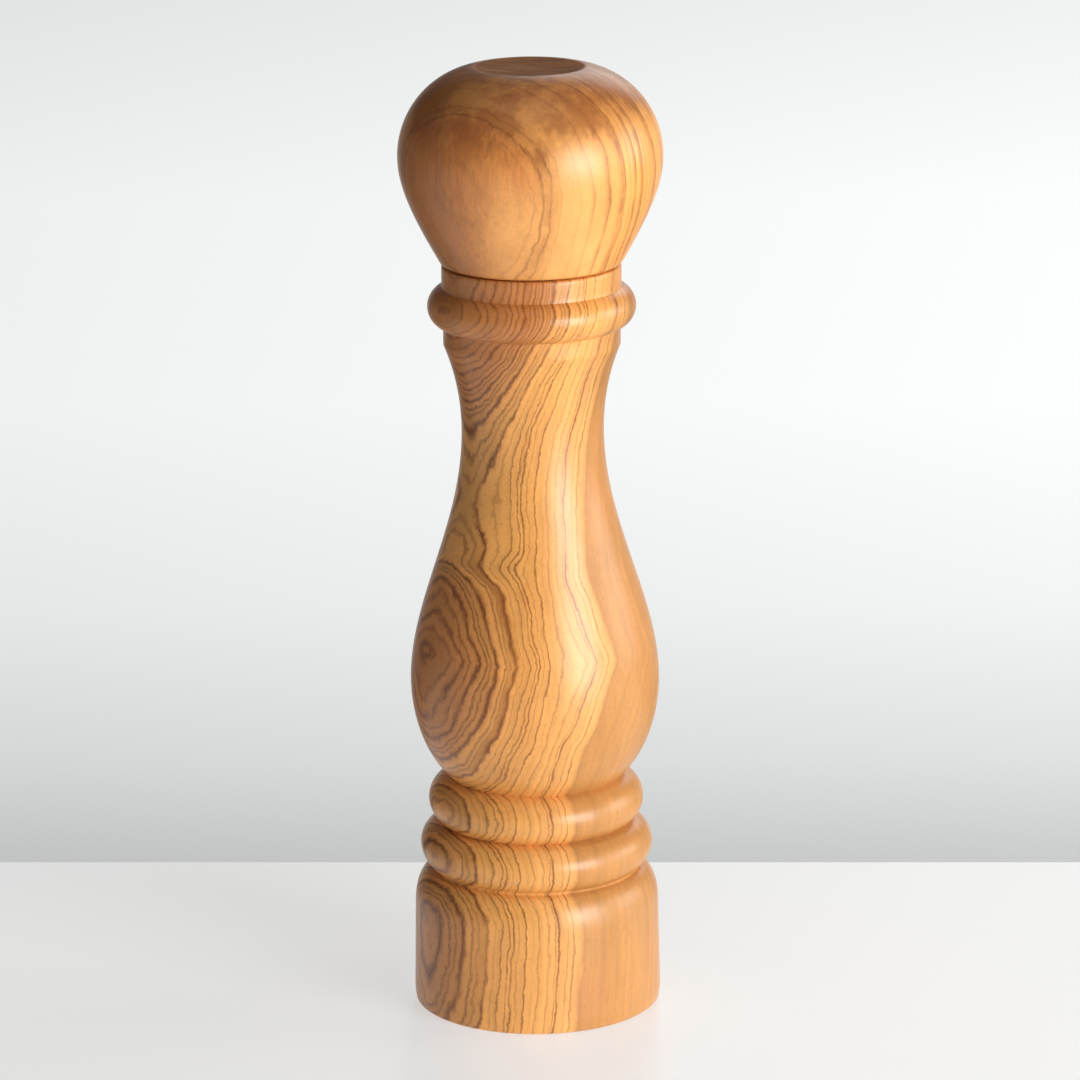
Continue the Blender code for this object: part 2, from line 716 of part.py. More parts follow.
boolean(shaft, groove_tool)

bush = turned("shaft_bush", [
    (0.0, BUSH_Z1), (BUSH_FLANGE_R - 0.3, BUSH_Z1), (BUSH_FLANGE_R, BUSH_Z1 - 0.3),
    (BUSH_FLANGE_R, BUSH_FLANGE_Z), (BUSH_R, BUSH_FLANGE_Z), (BUSH_R, BUSH_Z0),
    (0.0, BUSH_Z0)], DRIVE, DARK_PLASTIC, closed=False)
boolean(bush, cutter("bush_square_hole", prism_mesh(
    "bush_square_hole", square(HOLE_W), BUSH_Z0 - 2.0, BUSH_Z1 + 2.0)))

plate("shaft_clip", [c_shape(SHAFT_GROOVE_R + 0.25, 5.0, math.radians(96), math.radians(20), 20)],
      SHAFT_CLIP_Z0, SHAFT_CLIP_Z1, DRIVE, STEEL)

plate("spring_seat", [circle(SEAT_R), square(HOLE_W)], SEAT_Z0, SEAT_Z1, DRIVE, STEEL)


def spring_points():
    """Compression spring with a closed, flat turn at each end."""
    per = 10
    total = int(SPRING_TURNS * per)
    low, high = SPRING_BOTTOM_Z + SPRING_WIRE_R, SPRING_TOP_Z - SPRING_WIRE_R
    pitch_end = 2 * SPRING_WIRE_R + 0.12
    out = []
    for i in range(total + 1):
        turns = i / per
        free = SPRING_TURNS - 2.0
        if turns < 1.0:
            z = low + pitch_end * turns
        elif turns > SPRING_TURNS - 1.0:
            z = high - pitch_end * (SPRING_TURNS - turns)
        else:
            t = (turns - 1.0) / free
            z = low + pitch_end + (high - low - 2 * pitch_end) * t
        a = 2 * math.pi * turns
        out.append((SPRING_R * math.cos(a), SPRING_R * math.sin(a), z))
    return out


wire("cone_spring", spring_points(), SPRING_WIRE_R, SPRING_BOTTOM_Z, DRIVE, STEEL)


# ================================================================ adjuster
def knob_outline(scale):
    out = []
    for i in range(48):
        a = 2 * math.pi * i / 48
        r = (KNOB_R + KNOB_LOBE * math.cos(KNOB_LOBES * a)) * scale
        out.append((r * math.cos(a), r * math.sin(a)))
    return out


knob = bpy.data.objects.new("adjusting_knob", loft_mesh("adjusting_knob", [
    at(knob_outline(0.86), 0.0), at(knob_outline(0.97), 0.35), at(knob_outline(1.0), 1.1),
    at(knob_outline(1.0), KNOB_Z1 - KNOB_Z0 - 0.5), at(knob_outline(0.94), KNOB_Z1 - KNOB_Z0)],
    ring=False))
place(knob, ADJUST, KNOB_Z0, DARK_PLASTIC)
boolean(knob, cutter("nut_pocket", prism_mesh(
    "nut_pocket", polygon(6, NUT_HEX_R + 0.35, 6), NUT_Z0 - GAP, KNOB_Z1 + 2.0)))
boolean(knob, cutter("knob_bore", prism_mesh(
    "knob_bore", circle(THREAD_R + 0.5, 16), KNOB_FLOOR_Z, NUT_Z0 + 1.0)))

plate("adjusting_nut", [polygon(6, NUT_HEX_R, 6), circle(THREAD_R + 0.12, 16)],
      NUT_Z0, NUT_Z1, ADJUST, BRASS)

# ================================================================ head
head_down = list(reversed(head_outline()))
head = turned(
    "head_knob",
    head_down + [
        (SPIGOT_R, HEAD_SEAT_Z),
        (SPIGOT_R, SPIGOT_Z + 1.0),
        (SPIGOT_R - 1.0, SPIGOT_Z),
        (INSERT_FLANGE_R + GAP, SPIGOT_Z),
        (INSERT_FLANGE_R + GAP, INSERT_FLANGE_Z + GAP),
        (INSERT_BORE_R, INSERT_FLANGE_Z + GAP),
        (INSERT_BORE_R, HEAD_BORE_Z - 2.0),
        (0.0, HEAD_BORE_Z),
    ],
    HEAD, WOOD_HEAD, closed=False, steps=TURN_STEPS)

HEAD_SCREW_LEN = 9.0
head_screw_places = on_circle(HEAD_SCREW_RING_R, HEAD_SCREWS, 0.0)
head_pilot = prism_mesh("head_pilot", circle(SCREW_R + 0.3, 12), INSERT_FLANGE_Z - 0.5,
                        INSERT_Z0 + HEAD_SCREW_LEN + 0.6)
boolean(head, cutter("head_pilot_holes", merged(
    "head_pilot_holes",
    [(head_pilot, Matrix.Translation((x * MM, y * MM, 0.0))) for x, y in head_screw_places])))

insert = turned("head_insert", [
    (0.0, INSERT_TOP_Z), (INSERT_R - 0.5, INSERT_TOP_Z), (INSERT_R, INSERT_TOP_Z - 0.5),
    (INSERT_R, INSERT_GROOVE_Z + 0.7), (INSERT_GROOVE_R, INSERT_GROOVE_Z + 0.7),
    (INSERT_GROOVE_R, INSERT_GROOVE_Z - 0.7), (INSERT_R, INSERT_GROOVE_Z - 0.7),
    (INSERT_R, INSERT_FLANGE_Z), (INSERT_FLANGE_R, INSERT_FLANGE_Z),
    (INSERT_FLANGE_R, INSERT_Z0), (0.0, INSERT_Z0)], HEAD, DARK_PLASTIC, closed=False)
boolean(insert, cutter("insert_square_hole", prism_mesh(
    "insert_square_hole", square(HOLE_W), INSERT_Z0 - 2.0, INSERT_TOP_Z + 2.0)))
slit = prism_mesh("slit", polygon(4, 1.0 / math.sqrt(2.0), 4, math.pi / 4), 180.0, INSERT_TOP_Z + 2.0)
boolean(insert, cutter("finger_slit_x", merged(
    "finger_slit_x", [(slit, Matrix.Diagonal((20.0, 1.0, 1.0, 1.0)))])))
boolean(insert, cutter("finger_slit_y", merged(
    "finger_slit_y", [(slit, Matrix.Diagonal((1.0, 20.0, 1.0, 1.0)))])))
head_sink = solid_of("head_sink", screw_outline(0.25, HEAD_SCREW_LEN), 16)
boolean(insert, cutter("insert_screw_holes", merged(
    "insert_screw_holes",
    [(head_sink, Matrix.Translation((x * MM, y * MM, 0.0))) for x, y in head_screw_places]),
    INSERT_Z0 + 0.05))

screw_mesh = solid_of("head_wood_screw", screw_outline(0.0, HEAD_SCREW_LEN), 16)
for i, (x, y) in enumerate(head_screw_places):
    screw("head_screw_%d" % (i + 1), x, y, INSERT_Z0 + 0.05, HEAD, 0.7 + 0.9 * i)

wire("grip_ring",
     [(GRIP_RING_R * math.cos(a), GRIP_RING_R * math.sin(a), INSERT_GROOVE_Z)
      for a in [math.radians(8 + 344 * i / 20) for i in range(21)]],
     GRIP_WIRE_R, INSERT_GROOVE_Z, HEAD, STEEL)

for obj in PARTS.objects:
    if obj.type == "MESH" and obj.data.polygons:
        obj.data.shade_smooth()
        obj.data.set_sharp_from_angle(angle=math.radians(35))
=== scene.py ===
"""Looks of the olive wood pepper mill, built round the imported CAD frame.

Lengths in the constants are millimetres; meshes are in metres, +Z up, origin at
the centre of the base.  The outside is two turned pieces of one figured olive
board: the grain is a solid texture, so the growth rings run through the wood
and come out round every bulge and groove the way turning uncovers them.
"""
import math

import bmesh
import bpy
import numpy as np
from mathutils import Matrix, Vector


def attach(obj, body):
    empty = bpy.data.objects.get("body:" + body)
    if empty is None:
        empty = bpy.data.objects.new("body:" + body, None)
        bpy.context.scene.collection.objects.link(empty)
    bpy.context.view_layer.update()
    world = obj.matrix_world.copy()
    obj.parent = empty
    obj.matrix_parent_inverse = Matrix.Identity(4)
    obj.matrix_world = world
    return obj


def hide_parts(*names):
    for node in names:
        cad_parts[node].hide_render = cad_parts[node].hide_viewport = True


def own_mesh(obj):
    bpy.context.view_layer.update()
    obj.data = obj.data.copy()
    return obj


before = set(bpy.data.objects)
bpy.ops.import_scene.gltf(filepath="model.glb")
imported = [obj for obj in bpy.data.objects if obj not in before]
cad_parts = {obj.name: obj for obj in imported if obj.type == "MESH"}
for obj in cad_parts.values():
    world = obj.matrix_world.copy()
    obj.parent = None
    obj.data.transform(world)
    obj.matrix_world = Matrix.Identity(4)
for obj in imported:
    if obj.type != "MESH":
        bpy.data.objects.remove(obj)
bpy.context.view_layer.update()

MM = 0.001
TAU = 2.0 * math.pi

# ------------------------------------------------------------------ outer form
BASE_R, BASE_TOP_R = 30.0, 29.6
FOOT_H, FOOT_W = 4.0, 0.55
SHOULDER_Z, SHOULDER_H, SHOULDER_W = 25.0, 8.7, 4.5
LOWER_BEAD = (39.9, 28.1, 5.6)           # height, radius, roundness
UPPER_BEAD = (51.1, 26.0, 6.2)
BELLY_Z, BELLY_R, BELLY_LOW_H, BELLY_LOW_W, BELLY_FULLNESS = 81.5, 30.0, 28.0, 18.2, 0.92
WAIST_Z, WAIST_R, COVE_ROUND = 143.0, 17.0, 55.0
FILLET_Z0, FILLET_R = 163.8, 21.1
NECK_BEAD = (173.0, 24.8, 5.0)
COLLAR_R, COLLAR_TOP_Z = 21.35, 183.0
HEAD_SEAT_Z, HEAD_WIDEST_Z, HEAD_R = 183.3, 209.0, 31.35
HEAD_SOFT, HEAD_SLOPE = 9.4, 0.66
HEAD_TOP_H, HEAD_TOP_W = 21.4, 20.9
CROWN_R, CROWN_DISH = 13.4, 0.5

# ================================================================ small helpers


def link(obj):
    bpy.context.scene.collection.objects.link(obj)
    return obj


def finish_mesh(obj, angle=34.0):
    bm = bmesh.new()
    bm.from_mesh(obj.data)
    bmesh.ops.remove_doubles(bm, verts=bm.verts, dist=1e-7)
    bmesh.ops.recalc_face_normals(bm, faces=bm.faces)
    bm.to_mesh(obj.data)
    bm.free()
    obj.data.shade_smooth()
    obj.data.set_sharp_from_angle(angle=math.radians(angle))
    return obj


def rounded(points, radius, steps=4, closed=True):
    """The (r, z) corner points with each sharp corner turned into a small arc."""
    out, n = [], len(points)
    for i, p in enumerate(points):
        if not closed and i in (0, n - 1):
            out.append(p)
            continue
        a, b = Vector(points[i - 1]), Vector(points[(i + 1) % n])
        c = Vector(p)
        u, v = a - c, b - c
        if u.length < 1e-6 or v.length < 1e-6 or c.x < 1e-6:
            out.append(p)
            continue
        turn = math.pi - u.angle(v)
        if turn < math.radians(25):
            out.append(p)
            continue
        cut = min(radius * math.tan(turn / 2), 0.45 * u.length, 0.45 * v.length)
        s, e = c + u.normalized() * cut, c + v.normalized() * cut
        for k in range(steps + 1):
            t = k / steps
            q = s * (1 - t) ** 2 + c * 2 * t * (1 - t) + e * t * t
            out.append((q.x, q.y))
    return out


def lathe(name, profile, steps=128, closed=True, inner_from=None):
    """Turned solid: (r, z) points in mm.  Faces from index inner_from on take
    the second material slot, the bored inside."""
    verts, rows = [], []
    for r, z in profile:
        if r < 1e-6:
            rows.append([len(verts)] * steps)
            verts.append((0.0, 0.0, z * MM))
        else:
            rows.append(list(range(len(verts), len(verts) + steps)))
            verts += [(r * MM * math.cos(TAU * k / steps), r * MM * math.sin(TAU * k / steps), z * MM)
                      for k in range(steps)]
    faces, marks = [], []
    count = len(rows) if closed else len(rows) - 1
    for i in range(count):
        low, high = rows[i], rows[(i + 1) % len(rows)]
        for k in range(steps):
            j = (k + 1) % steps
            face = [low[k], low[j], high[j], high[k]]
            face = [v for n, v in enumerate(face) if v not in face[:n]]
            if len(face) > 2:
                faces.append(face)
                marks.append(1 if inner_from is not None and i >= inner_from else 0)
    mesh = bpy.data.meshes.new(name)
    mesh.from_pydata(verts, [], faces)
    mesh.polygons.foreach_set("material_index", marks)
    return finish_mesh(link(bpy.data.objects.new(name, mesh)))


def loft(name, sections, ring=False, angle=34.0):
    """Skin through sections of equal point count, capped or closed on itself."""
    count = len(sections[0])
    verts = [(x * MM, y * MM, z * MM) for s in sections for x, y, z in s]
    faces = []
    pairs = [(i, i + 1) for i in range(len(sections) - 1)]
    if ring:
        pairs.append((len(sections) - 1, 0))
    else:
        faces.append(list(range(count))[::-1])
        faces.append([(len(sections) - 1) * count + k for k in range(count)])
    for a, b in pairs:
        for k in range(count):
            j = (k + 1) % count
            faces.append([a * count + k, a * count + j, b * count + j, b * count + k])
    mesh = bpy.data.meshes.new(name)
    mesh.from_pydata(verts, [], faces)
    return finish_mesh(link(bpy.data.objects.new(name, mesh)), angle)


def polar_polygon(sides, apothem, corner, count, start=0.0):
    """Rounded regular polygon sampled at even angles, flats first facing start."""
    inner = apothem - corner
    out = []
    for k in range(count):
        a = TAU * k / count
        w = (a - start + math.pi / sides) % (TAU / sides) - math.pi / sides
        lo, hi = 0.0, apothem / math.cos(math.pi / sides) + 1.0
        for _ in range(40):
            r = 0.5 * (lo + hi)
            x, y = r * math.cos(w), abs(r * math.sin(w))
            edge = inner * math.tan(math.pi / sides)
            dx, dy = x - inner, y - edge
            away = dx if dy <= 0 else math.hypot(max(dx, 0.0), dy)
            if dy > 0 and dx <= 0:
                away = dy * math.cos(math.pi / sides)
            lo, hi = (r, hi) if away < corner else (lo, r)
        out.append((lo * math.cos(a), lo * math.sin(a)))
    return out


def circle(r, count, start=0.0):
    return [(r * math.cos(start + TAU * k / count), r * math.sin(start + TAU * k / count))
            for k in range(count)]


def at(points, z):
    return [(x, y, z) for x, y in points]


def scaled(points, s):
    return [(x * s, y * s) for x, y in points]


def apply_mods(obj):
    graph = bpy.context.evaluated_depsgraph_get()
    mesh = bpy.data.meshes.new_from_object(obj.evaluated_get(graph))
    old = obj.data
    obj.modifiers.clear()
    obj.data = mesh
    bpy.data.meshes.remove(old)
    return obj


def cut(obj, tools, operation="DIFFERENCE", angle=34.0):
    """Exact boolean with each tool in turn; the tools are used up."""
    for tool in tools:
        mod = obj.modifiers.new("cut", "BOOLEAN")
        mod.operation, mod.object, mod.solver = operation, tool, "EXACT"
    bpy.context.view_layer.update()
    apply_mods(obj)
    for tool in tools:
        bpy.data.objects.remove(tool)
    obj.data.shade_smooth()
    obj.data.set_sharp_from_angle(angle=math.radians(angle))
    return obj


def moved(obj, x=0.0, y=0.0, z=0.0, turn=0.0):
    obj.data.transform(Matrix.Translation((x * MM, y * MM, z * MM)) @ Matrix.Rotation(turn, 4, "Z"))
    return obj


# ================================================================ node helpers
class Tree:
    """A short way to write node trees."""

    def __init__(self, material):
        material.use_nodes = True
        self.t = material.node_tree
        self.t.nodes.clear()
        self.out = self.t.nodes.new("ShaderNodeOutputMaterial")
        self.bsdf = self.t.nodes.new("ShaderNodeBsdfPrincipled")
        self.t.links.new(self.bsdf.outputs[0], self.out.inputs[0])
        coord = self.t.nodes.new("ShaderNodeTexCoord")
        self.mm = self.vec("SCALE", coord.outputs["Object"], scale=1000.0)
        part = self.t.nodes.new("ShaderNodeSeparateXYZ")
        self.t.links.new(self.mm, part.inputs[0])
        self.x, self.y, self.z = part.outputs[0], part.outputs[1], part.outputs[2]

    def _put(self, socket, value):
        if isinstance(value, bpy.types.NodeSocket):
            self.t.links.new(value, socket)
        else:
            socket.default_value = value

    def math(self, op, a, b=None, c=None, clamp=False):
        n = self.t.nodes.new("ShaderNodeMath")
        n.operation, n.use_clamp = op, clamp
        for i, v in enumerate((a, b, c)):
            if v is not None:
                self._put(n.inputs[i], v)
        return n.outputs[0]

    def add(self, *terms):
        total = terms[0]
        for t in terms[1:]:
            total = self.math("ADD", total, t)
        return total

    def mul(self, *terms):
        total = terms[0]
        for t in terms[1:]:
            total = self.math("MULTIPLY", total, t)
        return total

    def vec(self, op, a, b=None, scale=None):
        n = self.t.nodes.new("ShaderNodeVectorMath")
        n.operation = op
        self._put(n.inputs[0], a)
        if b is not None:
            self._put(n.inputs[1], b)
        if scale is not None:
            self._put(n.inputs["Scale"], scale)
        return n.outputs[0]

    def xyz(self, x, y, z):
        n = self.t.nodes.new("ShaderNodeCombineXYZ")
        for s, v in zip(n.inputs, (x, y, z)):
            self._put(s, v)
        return n.outputs[0]

    def span(self, v, a, b, c=0.0, d=1.0, smooth=True):
        n = self.t.nodes.new("ShaderNodeMapRange")
        n.interpolation_type = "SMOOTHSTEP" if smooth else "LINEAR"
        n.clamp = True
        for s, val in zip(n.inputs[:5], (v, a, b, c, d)):
            self._put(s, val)
        return n.outputs[0]

    def noise(self, stretch, scale=1.0, detail=2.0, rough=0.5, shift=(0, 0, 0), warp=0.0, signed=False):
        """Noise on millimetre coordinates; stretch is the feature size in x, y, z."""
        v = self.vec("DIVIDE", self.mm if not isinstance(stretch[0], bpy.types.NodeSocket) else stretch[0],
                     tuple(float(s) for s in (stretch if not isinstance(stretch[0], bpy.types.NodeSocket) else stretch[1:])))
        v = self.vec("ADD", v, tuple(float(s) for s in shift))
        n = self.t.nodes.new("ShaderNodeTexNoise")
        n.noise_dimensions = "3D"
        self.t.links.new(v, n.inputs["Vector"])
        n.inputs["Scale"].default_value = scale
        n.inputs["Detail"].default_value = detail
        n.inputs["Roughness"].default_value = rough
        n.inputs["Distortion"].default_value = warp
        out = n.outputs["Fac"]
        if signed:
            out = self.math("MULTIPLY_ADD", out, 2.0, -1.0)
        return out

    def ramp(self, v, stops, interpolation="LINEAR"):
        """stops: (position, value or colour)."""
        n = self.t.nodes.new("ShaderNodeValToRGB")
        n.color_ramp.interpolation = interpolation
        e = n.color_ramp.elements
        while len(e) > 1:
            e.remove(e[-1])
        for i, (pos, c) in enumerate(stops):
            el = e[0] if i == 0 else e.new(pos)
            el.position = pos
            el.color = (c, c, c, 1.0) if isinstance(c, (int, float)) else (*c, 1.0)
        self._put(n.inputs[0], v)
        return n.outputs[0]

    def mix(self, fac, a, b, mode="MIX"):
        n = self.t.nodes.new("ShaderNodeMix")
        n.data_type, n.blend_type = "RGBA", mode
        n.clamp_factor = True
        self._put(n.inputs[0], fac)
        for s, v in ((n.inputs[6], a), (n.inputs[7], b)):
            self._put(s, (*v, 1.0) if isinstance(v, tuple) and len(v) == 3 else v)
        return n.outputs[2]

    def bump(self, height, strength, distance_mm, normal=None):
        n = self.t.nodes.new("ShaderNodeBump")
        n.inputs["Strength"].default_value = strength
        n.inputs["Distance"].default_value = distance_mm * MM
        self._put(n.inputs["Height"], height)
        if normal is not None:
            self._put(n.inputs["Normal"], normal)
        return n.outputs[0]

    def to(self, name, value):
        self._put(self.bsdf.inputs[name], (*value, 1.0) if isinstance(value, tuple) else value)


def srgb(r, g, b):
    """Display colour 0-255 to the linear values the shader takes."""
    return tuple((c / 255 / 12.92) if c <= 10 else ((c / 255 + 0.055) / 1.055) ** 2.4 for c in (r, g, b))


# ================================================================ olive wood
def ring_stops(lines, low, high):
    """Ramp stops for growth lines: (place, strength, half width) in ring mm."""
    size = high - low
    pts = [(0.0, 0.0)]
    for place, strength, half in lines:
        lo, mid, hi = ((p - low) / size for p in (place - half, place, place + half))
        pts += [(max(lo, pts[-1][0] + 1e-4), 0.0), (mid, strength), (hi, 0.0)]
    # where two lines touch, the dip between them keeps a little darkness
    clean = [pts[0]]
    for p in pts[1:]:
        if p[0] <= clean[-1][0]:
            clean[-1] = (clean[-1][0], max(clean[-1][1], 0.25 * p[1]))
            continue
        clean.append(p)
    return [p for p in clean if 0.0 <= p[0] <= 1.0][:32]


# The board the body was turned from: heart side to the left, plain sapwood to
# the right.  Late-wood lines by distance in from the sapwood, with how dark and
# how wide each one is.
BODY_LINES_SAP = [
    (-2.8, 0.14, 0.5), (0.4, 0.20, 0.45), (3.0, 0.28, 0.4), (4.8, 0.34, 0.35),
    (7.4, 0.72, 0.34), (8.9, 0.52, 0.26), (11.0, 0.95, 0.40), (11.75, 0.62, 0.24),
    (12.4, 0.22, 0.2), (13.3, 0.46, 0.24)]
BODY_LINES_MID = [
    (15.3, 0.45, 0.24), (16.5, 0.20, 0.20), (17.9, 0.85, 0.30), (19.4, 0.45, 0.22),
    (20.5, 0.90, 0.26), (21.3, 0.80, 0.21), (22.6, 0.75, 0.24),
    (23.9, 0.35, 0.20), (25.3, 1.00, 0.46)]
BODY_LINES_HEART = [
    (26.5, 0.45, 0.26), (27.3, 0.70, 0.30), (28.9, 1.00, 0.52), (30.1, 0.65, 0.28),
    (30.9, 0.80, 0.30), (32.2, 0.98, 0.44), (33.5, 0.62, 0.28), (34.5, 0.90, 0.36),
    (35.6, 0.62, 0.28), (36.9, 0.90, 0.38)]
BODY_LINES_CORE = [
    (38.2, 0.70, 0.32), (39.5, 0.80, 0.34), (40.7, 0.60, 0.30), (42.1, 0.85, 0.38),
    (43.6, 0.6, 0.3), (45.0, 0.75, 0.36), (47.0, 0.6, 0.3), (49.0, 0.75, 0.36)]
# Broad smoky bands that lie beside the strongest lines.
BODY_SMOKE = [(7.4, 0.25, 0.7), (10.9, 0.60, 1.0), (14.6, 0.06, 1.4), (18.1, 0.32, 0.8),
              (21.2, 0.48, 1.4), (25.2, 0.80, 1.0), (28.9, 0.90, 1.2), (32.3, 0.75, 1.2),
              (36.8, 0.65, 1.6), (42.0, 0.6, 2.2)]


def curve_node(tree, v, points, low, high):
    """Smooth curve through (position, value) pairs; returns the value."""
    n = tree.t.nodes.new("ShaderNodeFloatCurve")
    c = n.mapping.curves[0]
    xs = [p[0] for p in points]
    a, b = min(xs), max(xs)
    while len(c.points) > 2:
        c.points.remove(c.points[1])
    put = [((x - a) / (b - a), (y - low) / (high - low)) for x, y in points]
    c.points[0].location, c.points[1].location = put[0], put[-1]
    for p in put[1:-1]:
        c.points.new(*p)
    n.mapping.update()
    tree._put(n.inputs["Value"], tree.span(v, a, b, smooth=False))
    return tree.math("MULTIPLY_ADD", n.outputs[0], high - low, low)


def body_ring_field(t):
    """Distance through the growth rings, in mm, at each point of the body."""
    across = t.math("MULTIPLY_ADD", t.x, -0.883, t.mul(t.y, -0.469))
    lean = t.math("MULTIPLY_ADD", t.z, 0.1, across)
    # how the rings lean and swell up the length of the board
    wander = curve_node(t, t.z, [
        (0, 0.0), (20, 0.3), (28, 0.9), (33, 1.8), (42, 2.6), (52, 3.4), (62, 4.0),
        (67, 4.1), (76, 3.2), (84, 2.6), (91.5, 1.5), (98, 2.4), (106, 3.0), (112, 3.6),
        (122, 3.5), (137, 3.4), (145, 2.6), (152, 1.3), (158, 0.4), (165, -1.4),
        (172, -4.0), (178, -5.3), (186, -6.0), (232, -10.0)], -12.0, 6.0)
    ring = t.math("SUBTRACT", lean, wander)
    # one sharp jog half way up, strongest towards the heart
    d = t.math("SUBTRACT", t.z, 113.6)
    jog = t.mul(t.math("EXPONENT", t.mul(t.mul(d, d), -0.11)), t.span(ring, 17.0, 23.0), -1.9)
    # a shallow V lower down, where the outer rings swing furthest
    v = t.math("ABSOLUTE", t.math("SUBTRACT", t.z, 91.8))
    vee = t.mul(t.span(v, 0.0, 20.0, 1.0, 0.0, smooth=False), t.span(ring, 17.0, 7.0), 4.6)
    nick = t.mul(t.math("EXPONENT", t.mul(v, -0.45)), t.span(ring, 15.0, 20.0), 0.7)
    # the eye at the heart side of the belly
    hx = t.math("SUBTRACT", t.z, 87.0)
    eye = t.mul(t.math("MINIMUM", t.mul(hx, hx, 0.0035), 1.9), t.span(ring, 29.0, 34.0))
    # the heart dips back into the board above the jog, so no eye closes there
    hd = t.math("SUBTRACT", t.z, 125.0)
    dip = t.mul(t.math("EXPONENT", t.mul(t.mul(hd, hd), -0.012)), t.span(ring, 22.5, 27.0), -2.2)
    hz = t.math("SUBTRACT", t.z, 15.0)
    eye_low = t.mul(t.math("EXPONENT", t.mul(t.mul(hz, hz), -0.012)), t.span(ring, 27.0, 31.0), 0.7)
    slow = t.noise((16, 16, 34), detail=1.0, shift=(3.1, 7.7, 1.3), signed=True)
    mid = t.noise((7, 7, 9), detail=2.0, shift=(5.2, 1.1, 9.4), signed=True)
    fine = t.noise((2.2, 2.2, 3.2), detail=3.0, rough=0.62, shift=(0.4, 2.2, 6.1), signed=True)
    ragged = t.noise((0.7, 0.7, 1.0), detail=2.0, rough=0.6, shift=(8.4, 4.2, 0.1), signed=True)
    return t.add(ring, jog, vee, nick, eye, dip, eye_low, t.mul(slow, 0.7), t.mul(mid, 0.75),
                 t.mul(fine, 0.50), t.mul(ragged, 0.24))


def line_darkness(t, ring, tables):
    total = None
    for lines, low, high in tables:
        scaled_ring = t.span(ring, low, high, smooth=False)
        value = t.ramp(scaled_ring, ring_stops(lines, low, high))
        total = value if total is None else t.math("MAXIMUM", total, value)
    return total


def smoke_darkness(t, ring, bands, low, high):
    stops = [(0.0, 0.0)]
    for place, strength, half in bands:
        lo, mid, hi = ((p - low) / (high - low) for p in (place - half, place, place + half))
        if lo <= stops[-1][0]:
            stops[-1] = (0.5 * (lo + stops[-1][0]) , 0.15)
        else:
            stops.append((lo, 0.0))
        stops += [(mid, strength), (hi, 0.0)]
    stops = sorted(s for s in stops if 0.0 <= s[0] <= 1.0)
    return t.ramp(t.span(ring, low, high, smooth=False), stops, "EASE")


GOLD = srgb(236, 166, 88)
CREAM = srgb(236, 170, 96)
SAP = srgb(196, 137, 75)
HEART = srgb(192, 121, 64)
LINE = srgb(116, 54, 14)
SMOKE = srgb(148, 80, 28)
RED = srgb(208, 126, 62)


def wood_surface(t, colour, dark, polished=True, raw=None):
    """Streaks, pores, sheen and the fine relief that every piece of the wood has."""
    streak = t.noise((0.55, 0.55, 9.0), detail=3.0, rough=0.6, shift=(1.7, 3.9, 0.2), signed=True)
    broad = t.noise((3.2, 3.2, 26.0), detail=2.0, shift=(9.1, 0.3, 4.4), signed=True)
    cloud = t.noise((13, 13, 15), detail=3.0, shift=(2.7, 6.6, 8.8), signed=True)
    # mottling: soft cross-grain flecks, as olive shows in its plain parts
    fleck = t.noise((1.6, 1.6, 1.1), detail=3.0, rough=0.6, shift=(5.7, 0.6, 3.8), signed=True)
    tone = t.add(t.mul(streak, 0.13), t.mul(broad, 0.12), t.mul(cloud, 0.12), t.mul(fleck, 0.06), 1.0)
    colour = t.mix(1.0, colour, t.xyz(tone, tone, tone), "MULTIPLY")
    warm = t.noise((18, 18, 30), detail=2.0, shift=(4.4, 4.4, 2.1))
    colour = t.mix(t.span(warm, 0.45, 0.75, 0.0, 0.22), colour, RED)
    # open pores: short dark dashes along the grain
    pore = t.noise((0.20, 0.20, 1.5), detail=1.0, shift=(6.0, 1.0, 3.0))
    pore = t.mul(t.span(pore, 0.64, 0.80), 0.45)
    colour = t.mix(pore, colour, srgb(98, 54, 26))
    t.to("Base Color", colour)
    # worn-in satin oil: the dark late wood is denser and a touch glossier
    rough_noise = t.noise((2.5, 2.5, 7.0), detail=3.0, shift=(0.9, 0.5, 7.7), signed=True)
    base = 0.38 if polished else 0.72
    rough = t.add(base, t.mul(rough_noise, 0.08), t.mul(dark, -0.05), t.mul(pore, 0.3))
    t.to("Roughness", rough if raw is None else t.add(rough, t.mul(raw, 0.30)))
    height = t.add(t.mul(streak, 0.5), t.mul(pore, -2.4), t.mul(dark, 0.35), t.mul(fleck, 0.2))
    t.to("Normal", t.bump(height, 0.22 if polished else 0.5, 0.06))
    t.to("IOR", 1.47)
    t.to("Specular IOR Level", 0.3 if not polished else 0.5 if raw is None else t.span(raw, 0.0, 1.0, 0.5, 0.12))
    if polished:
        t.to("Coat Weight", 0.20 if raw is None else t.span(raw, 0.0, 1.0, 0.20, 0.0))
        t.to("Coat Roughness", 0.27)


